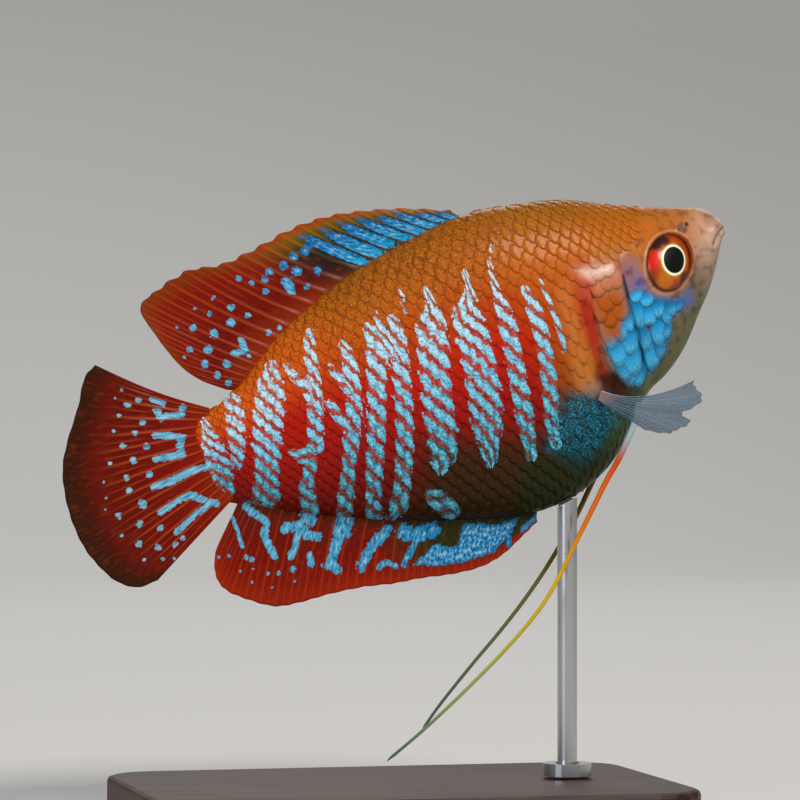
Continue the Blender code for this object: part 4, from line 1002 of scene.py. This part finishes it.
def make_feeler(name, node, route, side, tones, material):
    """A long thread with round ends along a route."""
    feeler, share, turn = ball(name, 12, 220)
    path = smooth_rows(route, share)
    ahead = smooth_rows(route, np.clip(share + 0.004, 0, 1)) - smooth_rows(route, np.clip(share - 0.004, 0, 1))
    centre = np.column_stack([-path[:, 0], path[:, 1] * side, path[:, 2]])
    along = np.column_stack([-ahead[:, 0], ahead[:, 1] * side, ahead[:, 2]])
    along /= np.linalg.norm(along, axis=1)[:, None]
    out = np.cross(along, np.array((0.0, 1.0, 0.0)))
    out /= np.linalg.norm(out, axis=1)[:, None]
    across = np.cross(out, along)
    radius = np.interp(share, [a for a, _ in FEELER_RADII], [b for _, b in FEELER_RADII])
    radius = radius * np.sqrt(np.clip((1 - share) * 60, 0, 1)) * np.sqrt(np.clip(share * 60, 0, 1))
    spots = centre + (out * np.cos(turn)[:, None] + across * np.sin(turn)[:, None]) * radius[:, None]
    place_vertices(feeler, to_world(spots))
    set_layer(feeler.data, "paint", ramp(tones, share))
    finish_piece(feeler, "feeler", material, node)


# Materials

FINE_GRAIN, RAGGED_GRAIN = 5600.0, 2000.0     # features of about 0.18 and 0.5 mm


def add(tree, kind, inputs, out=0, **settings):
    """Adds a node with its settings, links or fills its inputs, and gives one of its outputs."""
    made = tree.nodes.new("ShaderNode" + kind)
    for name, value in settings.items():
        setattr(made, name, value)
    for socket, value in inputs.items():
        if isinstance(value, bpy.types.NodeSocket):
            tree.links.new(value, made.inputs[socket])
        elif isinstance(value, str):
            made.inputs[socket].default_value = (*to_linear(value), 1.0)
        else:
            made.inputs[socket].default_value = value
    return made.outputs[out]


SOFT = {"interpolation_type": "SMOOTHSTEP"}
TIMES = {"operation": "MULTIPLY"}
TINT = {"out": 2, "data_type": "RGBA"}


def new_material(name, values):
    """A material with a Principled shader filled from values, and its node tree."""
    material = bpy.data.materials.new(name)
    material.use_nodes = True
    shader = material.node_tree.nodes["Principled BSDF"]
    for socket, value in values.items():
        shader.inputs[socket].default_value = value
    return material, material.node_tree, shader


def patch_distance(tree, place):
    """Distance from the middle of the nearest leaning patch of a bar, with 1 at the patch's edge."""
    reaches = []
    for shift in ((0.0, 0.0, 0.0), (PATCH_WIDTH, PATCH_ROW / 2, 0.0)):
        moved = add(tree, "VectorMath", {0: place, 1: shift}, operation="SUBTRACT")
        cell = add(tree, "VectorMath", {0: moved, 1: (PATCH_WIDTH, PATCH_ROW / 2, 9.0),
                                        2: (-PATCH_WIDTH, -PATCH_ROW / 2, -9.0)}, operation="WRAP")
        turned = add(tree, "VectorRotate", {"Vector": cell, "Angle": -PATCH_LEAN}, rotation_type="Z_AXIS")
        sized = add(tree, "VectorMath", {0: turned, 1: (1 / PATCH_HALF[0], 1 / PATCH_HALF[1], 0.0)}, **TIMES)
        reaches.append(add(tree, "VectorMath", {0: sized}, out="Value", operation="LENGTH"))
    return add(tree, "Math", {0: reaches[0], 1: reaches[1]}, operation="MINIMUM")


def body_colour(tree, where, fine):
    """Ground colour with its specks, the bars' bright patches with a painted glint in the middle of each, and
    the glitter of the throat.
    """
    ragged = add(tree, "TexNoise", {"Vector": where, "Scale": RAGGED_GRAIN, "Detail": 3.0}, out="Color")
    jitter = add(tree, "VectorMath", {0: ragged, 1: (0.5, 0.5, 0.5)}, operation="SUBTRACT")
    stored = add(tree, "Attribute", {}, out="Vector", attribute_name="bar_place")
    place = add(tree, "VectorMath", {0: jitter, 1: (0.9, 1.3, 0.5), 2: stored}, operation="MULTIPLY_ADD")
    depth = add(tree, "SeparateXYZ", {0: place}, out="Z")
    outside = add(tree, "MapRange", {0: depth, 1: -0.05, 2: -0.4, 4: 2.0})
    reach = add(tree, "Math", {0: patch_distance(tree, place), 1: outside}, operation="ADD")
    glitter = add(tree, "Attribute", {}, out="Vector", attribute_name="glitter")
    specks, throat, _ = add(tree, "SeparateXYZ", {0: glitter}).node.outputs
    bright_grain = add(tree, "MapRange", {0: fine, 1: 0.5, 2: 0.64}, **SOFT)
    dark_grain = add(tree, "MapRange", {0: fine, 1: 0.5, 2: 0.36}, **SOFT)

    colour = add(tree, "Attribute", {}, out="Color", attribute_name="paint")
    share = add(tree, "Math", {0: add(tree, "Math", {0: specks, 1: bright_grain}, **TIMES), 1: 0.45}, **TIMES)
    colour = add(tree, "Mix", {0: share, 6: colour, 7: "#e08c18"}, **TINT)
    share = add(tree, "Math", {0: add(tree, "Math", {0: throat, 1: bright_grain}, **TIMES), 1: 0.9}, **TIMES)
    colour = add(tree, "Mix", {0: share, 6: colour, 7: "#1494bc"}, **TINT)
    haze = add(tree, "MapRange", {0: depth, 1: -0.1, 2: 0.3, 4: 0.4}, **SOFT)
    share = add(tree, "Math", {0: haze, 1: add(tree, "MapRange", {0: fine, 1: 0.42, 2: 0.54}, **SOFT)}, **TIMES)
    colour = add(tree, "Mix", {0: share, 6: colour, 7: "#a48078"}, **TINT)

    sheen = add(tree, "Attribute", {}, out="Color", attribute_name="sheen")
    share = add(tree, "Math", {0: dark_grain, 1: 0.5}, **TIMES)
    sheen = add(tree, "Mix", {0: share, 6: sheen, 7: "#287090"}, **TINT)
    # Painted glint: the middle of each bright patch is paled towards white.
    painted_glint = add(tree, "MapRange", {0: reach, 1: 1.0, 2: 0.4, 4: 0.85}, **SOFT)
    share = add(tree, "Math", {0: painted_glint, 1: add(tree, "MapRange", {0: fine, 1: 0.36, 2: 0.6}, **SOFT)}, **TIMES)
    sheen = add(tree, "Mix", {0: share, 6: sheen, 7: "#88c0d4"}, blend_type="SCREEN", **TINT)
    patch =add(tree, "MapRange", {0: reach, 1: 1.1, 2: 0.86}, **SOFT)
    return add(tree, "Mix", {0: patch, 6: colour, 7: sheen}, **TINT)


def finish_skin(tree, shader, where, fine, colour):
    """Joins the colour and a fine bump to the shader."""
    tree.links.new(colour, shader.inputs["Base Color"])
    bump = add(tree, "Bump", {"Height": fine, "Strength": 0.2, "Distance": 0.00005}, out="Normal")
    tree.links.new(bump, shader.inputs["Normal"])


WET = {"Roughness": 0.4, "Specular IOR Level": 0.1, "Coat Weight": 0.08, "Coat Roughness": 0.12}


def skin_finish():
    """Moist bare skin, mottled with darker pigment."""
    material, tree, shader = new_material("moist_skin", WET)
    where = add(tree, "TexCoord", {}, out="Object")
    fine = add(tree, "TexNoise", {"Vector": where, "Scale": FINE_GRAIN, "Detail": 2.0})
    coarse = add(tree, "TexNoise", {"Vector": where, "Scale": 900.0, "Detail": 3.0})
    mottle = add(tree, "MapRange", {0: coarse, 1: 0.48, 2: 0.66, 4: 0.5}, **SOFT)
    colour = add(tree, "Mix", {0: mottle, 6: body_colour(tree, where, fine), 7: "#30140a"},
                 blend_type="SOFT_LIGHT", **TINT)
    pale = add(tree, "MapRange", {0: coarse, 1: 0.47, 2: 0.34, 4: 0.4}, **SOFT)
    colour = add(tree, "Mix", {0: pale, 6: colour, 7: "#e0b8a0"}, blend_type="SOFT_LIGHT", **TINT)
    finish_skin(tree, shader, where, fine, colour)
    return material


def scale_finish():
    """Scales: the body's markings; cheek plates get a painted highlight at the tip and a painted shadow at the
    root.
    """
    material, tree, shader = new_material("fish_scales", WET)
    where = add(tree, "TexCoord", {}, out="Object")
    fine = add(tree, "TexNoise", {"Vector": where, "Scale": FINE_GRAIN, "Detail": 2.0})
    colour = body_colour(tree, where, fine)
    cell = add(tree, "Attribute", {}, out="Vector", attribute_name="cell")
    _, lengthwise, shade = add(tree, "SeparateXYZ", {0: cell}).node.outputs
    wavy = add(tree, "TexNoise", {"Vector": where, "Scale": RAGGED_GRAIN / 2, "Detail": 4.0}, out="Color")
    cell = add(tree, "VectorMath", {0: wavy, 1: (1.8, 1.8, 0.0), 2: cell}, operation="MULTIPLY_ADD")
    cell = add(tree, "VectorMath", {0: cell, 1: (0.9, 0.8, 0.0)}, operation="SUBTRACT")
    cell = add(tree, "VectorMath", {0: cell, 1: (1.0, 0.85, 0.0)}, **TIMES)
    away = add(tree, "VectorMath", {0: cell}, out="Value", operation="LENGTH")
    glitter = add(tree, "Attribute", {}, out="Vector", attribute_name="glitter")
    specks, _, cheek = add(tree, "SeparateXYZ", {0: glitter}).node.outputs
    # Painted highlight: each cheek plate is lightened in streaks towards its free tip, where it stands up from
    # the skin.
    streaks = add(tree, "MapRange", {0: fine, 1: 0.3, 2: 0.7}, **SOFT)
    tip = add(tree, "MapRange", {0: lengthwise, 1: -0.4, 2: 0.9}, **SOFT)
    painted_tip_highlight = add(tree, "Math", {0: tip, 1: streaks}, **TIMES)
    # Painted shadow: each cheek plate is darkened at its root, under the plate that overlaps it.
    root = add(tree, "MapRange", {0: lengthwise, 1: 0.2, 2: -0.9, 4: 0.75}, **SOFT)
    blue = add(tree, "Mix", {0: shade, 6: "#0468a0", 7: "#20a4e0"}, **TINT)
    blue = add(tree, "Mix", {0: painted_tip_highlight, 6: blue, 7: "#68c8f0"}, **TINT)
    blue = add(tree, "Mix", {0: root, 6: blue, 7: "#045080"}, **TINT)
    colour = add(tree, "Mix", {0: cheek, 6: colour, 7: blue}, **TINT)
    edge = add(tree, "MapRange", {0: away, 1: 0.8, 2: 1.1, 4: 0.35}, **SOFT)
    nape = add(tree, "Math", {0: edge, 1: specks}, **TIMES)
    colour = add(tree, "Mix", {0: nape, 6: colour, 7: "#5c2404"}, **TINT)
    finish_skin(tree, shader, where, fine, colour)
    return material


def ray_lines(tree, ray, reach, thin, branch_from):
    """1 on the lines of the rays, and on their branches beyond a reach."""
    near = add(tree, "Math", {0: ray, 1: 0.5}, operation="PINGPONG")
    main = add(tree, "MapRange", {0: near, 1: thin, 2: thin * 0.35}, **SOFT)
    double = add(tree, "Math", {0: ray, 1: 2.0}, **TIMES)
    near = add(tree, "Math", {0: double, 1: 0.5}, operation="PINGPONG")
    branch = add(tree, "MapRange", {0: near, 1: thin * 1.3, 2: thin * 0.4, 4: 0.8}, **SOFT)
    beyond = add(tree, "MapRange", {0: reach, 1: branch_from, 2: branch_from + 0.2}, **SOFT)
    branch = add(tree, "Math", {0: branch, 1: beyond}, **TIMES)
    return add(tree, "Math", {0: main, 1: branch}, operation="MAXIMUM")


def fin_finish():
    """Coloured fins: membrane between pale rays, with bright ragged marks that shine in fibres and have a
    painted glint in their middles.
    """
    material, tree, shader = new_material("red_fin", WET)
    where = add(tree, "TexCoord", {}, out="Object")
    place = add(tree, "Attribute", {}, out="Vector", attribute_name="fin_place")
    ray, reach, mark = add(tree, "SeparateXYZ", {0: place}).node.outputs
    ragged = add(tree, "TexNoise", {"Vector": where, "Scale": RAGGED_GRAIN * 1.3, "Detail": 3.0})
    along = add(tree, "VectorMath", {0: place, 1: (6.0, 12.0, 0.0)}, **TIMES)
    fibre = add(tree, "TexNoise", {"Vector": along, "Scale": 1.0, "Detail": 3.0})
    lines = ray_lines(tree, ray, reach, 0.12, 0.4)
    colour = add(tree, "Attribute", {}, out="Color", attribute_name="paint")
    line = add(tree, "Attribute", {}, out="Color", attribute_name="line")
    share = add(tree, "Math", {0: lines, 1: 0.8}, **TIMES)
    colour = add(tree, "Mix", {0: share, 6: colour, 7: line}, **TINT)
    share = add(tree, "MapRange", {0: fibre, 1: 0.5, 2: 0.7, 4: 0.2}, **SOFT)
    colour = add(tree, "Mix", {0: share, 6: colour, 7: "#b84808"}, **TINT)
    wild = add(tree, "Math", {0: ragged, 1: 1.3, 2: mark}, operation="MULTIPLY_ADD")
    wild = add(tree, "Math", {0: lines, 1: -0.35, 2: wild}, operation="MULTIPLY_ADD")
    wild = add(tree, "Math", {0: fibre, 1: 0.7, 2: wild}, operation="MULTIPLY_ADD")
    wild = add(tree, "Math", {0: wild, 1: 0.4}, operation="SUBTRACT")
    sheen = add(tree, "Attribute", {}, out="Color", attribute_name="sheen")
    dark = add(tree, "MapRange", {0: fibre, 1: 0.5, 2: 0.35, 4: 0.6}, **SOFT)
    sheen = add(tree, "Mix", {0: dark, 6: sheen, 7: "#0c4c70"}, **TINT)
    # Painted glint: the middle of each blue mark is paled towards white, in fibres.
    painted_glint = add(tree, "MapRange", {0: wild, 1: 0.8, 2: 1.4, 4: 0.6}, **SOFT)
    share = add(tree, "Math", {0: painted_glint, 1: add(tree, "MapRange", {0: fibre, 1: 0.45, 2: 0.65}, **SOFT)}, **TIMES)
    sheen = add(tree, "Mix", {0: share, 6: sheen, 7: "#b8ecfc"}, **TINT)
    marked = add(tree, "MapRange", {0: wild, 1: 0.56, 2: 0.72}, **SOFT)
    colour = add(tree, "Mix", {0: marked, 6: colour, 7: sheen}, **TINT)
    tree.links.new(colour, shader.inputs["Base Color"])
    glow = add(tree, "BsdfTranslucent", {"Color": colour})
    both = add(tree, "MixShader", {0: 0.25, 1: shader.outputs[0], 2: glow})
    tree.links.new(both, tree.nodes["Material Output"].inputs["Surface"])
    return material


def clear_fin_finish():
    """Nearly clear membrane between pale rays, thicker at its fleshy base."""
    material, tree, shader = new_material("clear_fin", WET)
    place = add(tree, "Attribute", {}, out="Vector", attribute_name="fin_place")
    ray, reach, base = add(tree, "SeparateXYZ", {0: place}).node.outputs
    lines = ray_lines(tree, ray, reach, 0.16, 0.5)
    colour = add(tree, "Attribute", {}, out="Color", attribute_name="paint")
    line = add(tree, "Attribute", {}, out="Color", attribute_name="line")
    colour = add(tree, "Mix", {0: lines, 6: colour, 7: line}, **TINT)
    tree.links.new(colour, shader.inputs["Base Color"])
    solid = add(tree, "Math", {0: lines, 1: base}, operation="MAXIMUM")
    tree.links.new(add(tree, "MapRange", {0: solid, 3: 0.42, 4: 0.9}), shader.inputs["Alpha"])
    return material


def eye_finish():
    """Wet eye: black pupil in a thin pale ring, on the painted iris."""
    material, tree, shader = new_material("wet_eye", {"Roughness": 0.4, "Specular IOR Level": 0.2,
                                                      "Coat Weight": 0.2, "Coat Roughness": 0.02})
    where = add(tree, "TexCoord", {}, out="Object")
    streaks = add(tree, "TexNoise", {"Vector": where, "Scale": 2600.0, "Detail": 3.0})
    place = add(tree, "Attribute", {}, out="Vector", attribute_name="eye_place")
    away = add(tree, "VectorMath", {0: place}, out="Value", operation="LENGTH")
    colour = add(tree, "Attribute", {}, out="Color", attribute_name="paint")
    share = add(tree, "MapRange", {0: streaks, 1: 0.4, 2: 0.7, 4: 0.5}, **SOFT)
    colour = add(tree, "Mix", {0: share, 6: colour, 7: "#ffc070"}, blend_type="SOFT_LIGHT", **TINT)
    for edge, soft, tint in ((1.05, 0.04, "#b8a010"), (0.99, 0.03, "#f4f8dc"), (PUPIL_SHARE, 0.03, "#010101")):
        share = add(tree, "MapRange", {0: away, 1: edge + soft, 2: edge - soft}, **SOFT)
        colour = add(tree, "Mix", {0: share, 6: colour, 7: tint}, **TINT)
    tree.links.new(colour, shader.inputs["Base Color"])
    return material


def feeler_finish():
    """Smooth moist thread."""
    material, tree, shader = new_material("moist_thread", WET)
    tree.links.new(add(tree, "Attribute", {}, out="Color", attribute_name="paint"), shader.inputs["Base Color"])
    return material


def wood_finish():
    """Dark oiled wood with a long grain."""
    material, tree, shader = new_material("oiled_wood", {"Roughness": 0.5, "Specular IOR Level": 0.3})
    where = add(tree, "TexCoord", {}, out="Object")
    stretched = add(tree, "Mapping", {"Vector": where, "Scale": (60.0, 900.0, 900.0)})
    rings = add(tree, "TexNoise", {"Vector": stretched, "Scale": 1.0, "Detail": 6.0})
    share = add(tree, "MapRange", {0: rings, 1: 0.35, 2: 0.68}, **SOFT)
    tree.links.new(add(tree, "Mix", {0: share, 6: "#24140a", 7: "#4c2c16"}, **TINT), shader.inputs["Base Color"])
    bump = add(tree, "Bump", {"Height": rings, "Strength": 0.15, "Distance": 0.0001}, out="Normal")
    tree.links.new(bump, shader.inputs["Normal"])
    return material


def steel_finish():
    """Satin steel."""
    return new_material("satin_steel", {"Base Color": (*to_linear("#c4c6c8"), 1.0), "Metallic": 1.0,
                                        "Roughness": 0.28})[0]


def dress_stand():
    steel = steel_finish()
    for name, material in {"stand_base": wood_finish(), "stand_rod": steel, "stand_collar": steel}.items():
        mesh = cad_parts[name].data
        mesh.materials.clear()
        mesh.materials.append(material)


# Floor, light and camera

def make_floor():
    """A pale sheet that lies flat under the stand and curves up behind it."""
    bpy.ops.mesh.primitive_grid_add(x_subdivisions=2, y_subdivisions=64, size=2.0)
    floor = bpy.context.object
    floor.name = "floor_sweep"
    spots = vertex_array(floor.data)
    run = (spots[:, 1] + 1) / 2 * 3.0
    flat, bend = 1.5, 0.45
    angle = np.clip((run - flat) / bend, 0, math.pi / 2)
    above = np.maximum(run - flat - bend * math.pi / 2, 0)
    y = -0.9 + np.minimum(run, flat) + bend * np.sin(angle)
    z = bend * (1 - np.cos(angle)) + above
    place_vertices(floor, np.column_stack([spots[:, 0] * 2.0, y, z]))
    material, _, _ = new_material("pale_sheet", {"Base Color": (*to_linear("#d4d2ce"), 1.0), "Roughness": 0.8})
    floor.data.materials.append(material)
    floor.data.polygons.foreach_set("use_smooth", [True] * len(floor.data.polygons))


def area_light(name, spot, size, power, tone):
    data = bpy.data.lights.new(name, "AREA")
    data.size = size
    data.energy = power
    data.color = to_linear(tone)
    lamp = bpy.data.objects.new(name, data)
    lamp.location = spot
    lamp.rotation_euler = (AIM - Vector(spot)).to_track_quat("-Z", "Y").to_euler()
    bpy.context.collection.objects.link(lamp)


def make_lights():
    area_light("key_light", (0.25, -0.65, 0.75), 0.3, 7.0, "#fffaf2")
    area_light("fill_light", (-0.7, -0.45, 0.3), 0.4, 2.4, "#eef4ff")
    area_light("rim_light", (0.1, 0.6, 0.6), 0.4, 1.8, "#ffffff")
    world = bpy.data.worlds.new("soft_room")
    world.use_nodes = True
    world.node_tree.nodes["Background"].inputs["Color"].default_value = (0.9, 0.93, 1.0, 1.0)
    world.node_tree.nodes["Background"].inputs["Strength"].default_value = 0.25
    bpy.context.scene.world = world


def set_view():
    """Plain colour, so that the finishes show as they are named."""
    bpy.context.scene.view_settings.view_transform = "Standard"


def make_camera():
    data = bpy.data.cameras.new("camera")
    data.sensor_width = 36.0
    data.lens = data.sensor_width * CAMERA_DISTANCE / FRAME_WIDTH
    data.clip_start = 0.01
    camera = bpy.data.objects.new("camera", data)
    away = Vector((math.sin(CAMERA_AZIMUTH), -math.cos(CAMERA_AZIMUTH), 0.0))
    camera.location = AIM + away * CAMERA_DISTANCE
    camera.rotation_euler = (-away).to_track_quat("-Z", "Y").to_euler()
    bpy.context.collection.objects.link(camera)
    bpy.context.scene.camera = camera


scales, eyes, fins, clear_fins, threads = (
    scale_finish(), eye_finish(), fin_finish(), clear_fin_finish(), feeler_finish())
make_skin(skin_finish())
for flank in (1, -1):
    make_scales(flank, scales)
    make_eye(flank, eyes)
make_dorsal_fin(fins)
make_anal_fin(fins)
make_tail_fin(fins)
forward_droop = math.atan(math.cos(FORWARD_SWING) * math.tan(PITCH))
make_pectoral("pectoral_sheet_right", "pectoral_fin_right", FORWARD_FAN, -1, FORWARD_SWING,
              forward_droop, FORWARD_DIP, clear_fins)
make_pectoral("pectoral_sheet_left", "pectoral_fin_left", RESTING_FAN, 1, RESTING_SWING,
              RESTING_DROOP, 0.0, clear_fins)
make_feeler("feeler_right", "pelvic_feeler_right", RIGHT_FEELER, -1, RIGHT_TONES, threads)
make_feeler("feeler_left", "pelvic_feeler_left", LEFT_FEELER, 1, LEFT_TONES, threads)
dress_stand()
make_floor()
make_lights()
set_view()
make_camera()
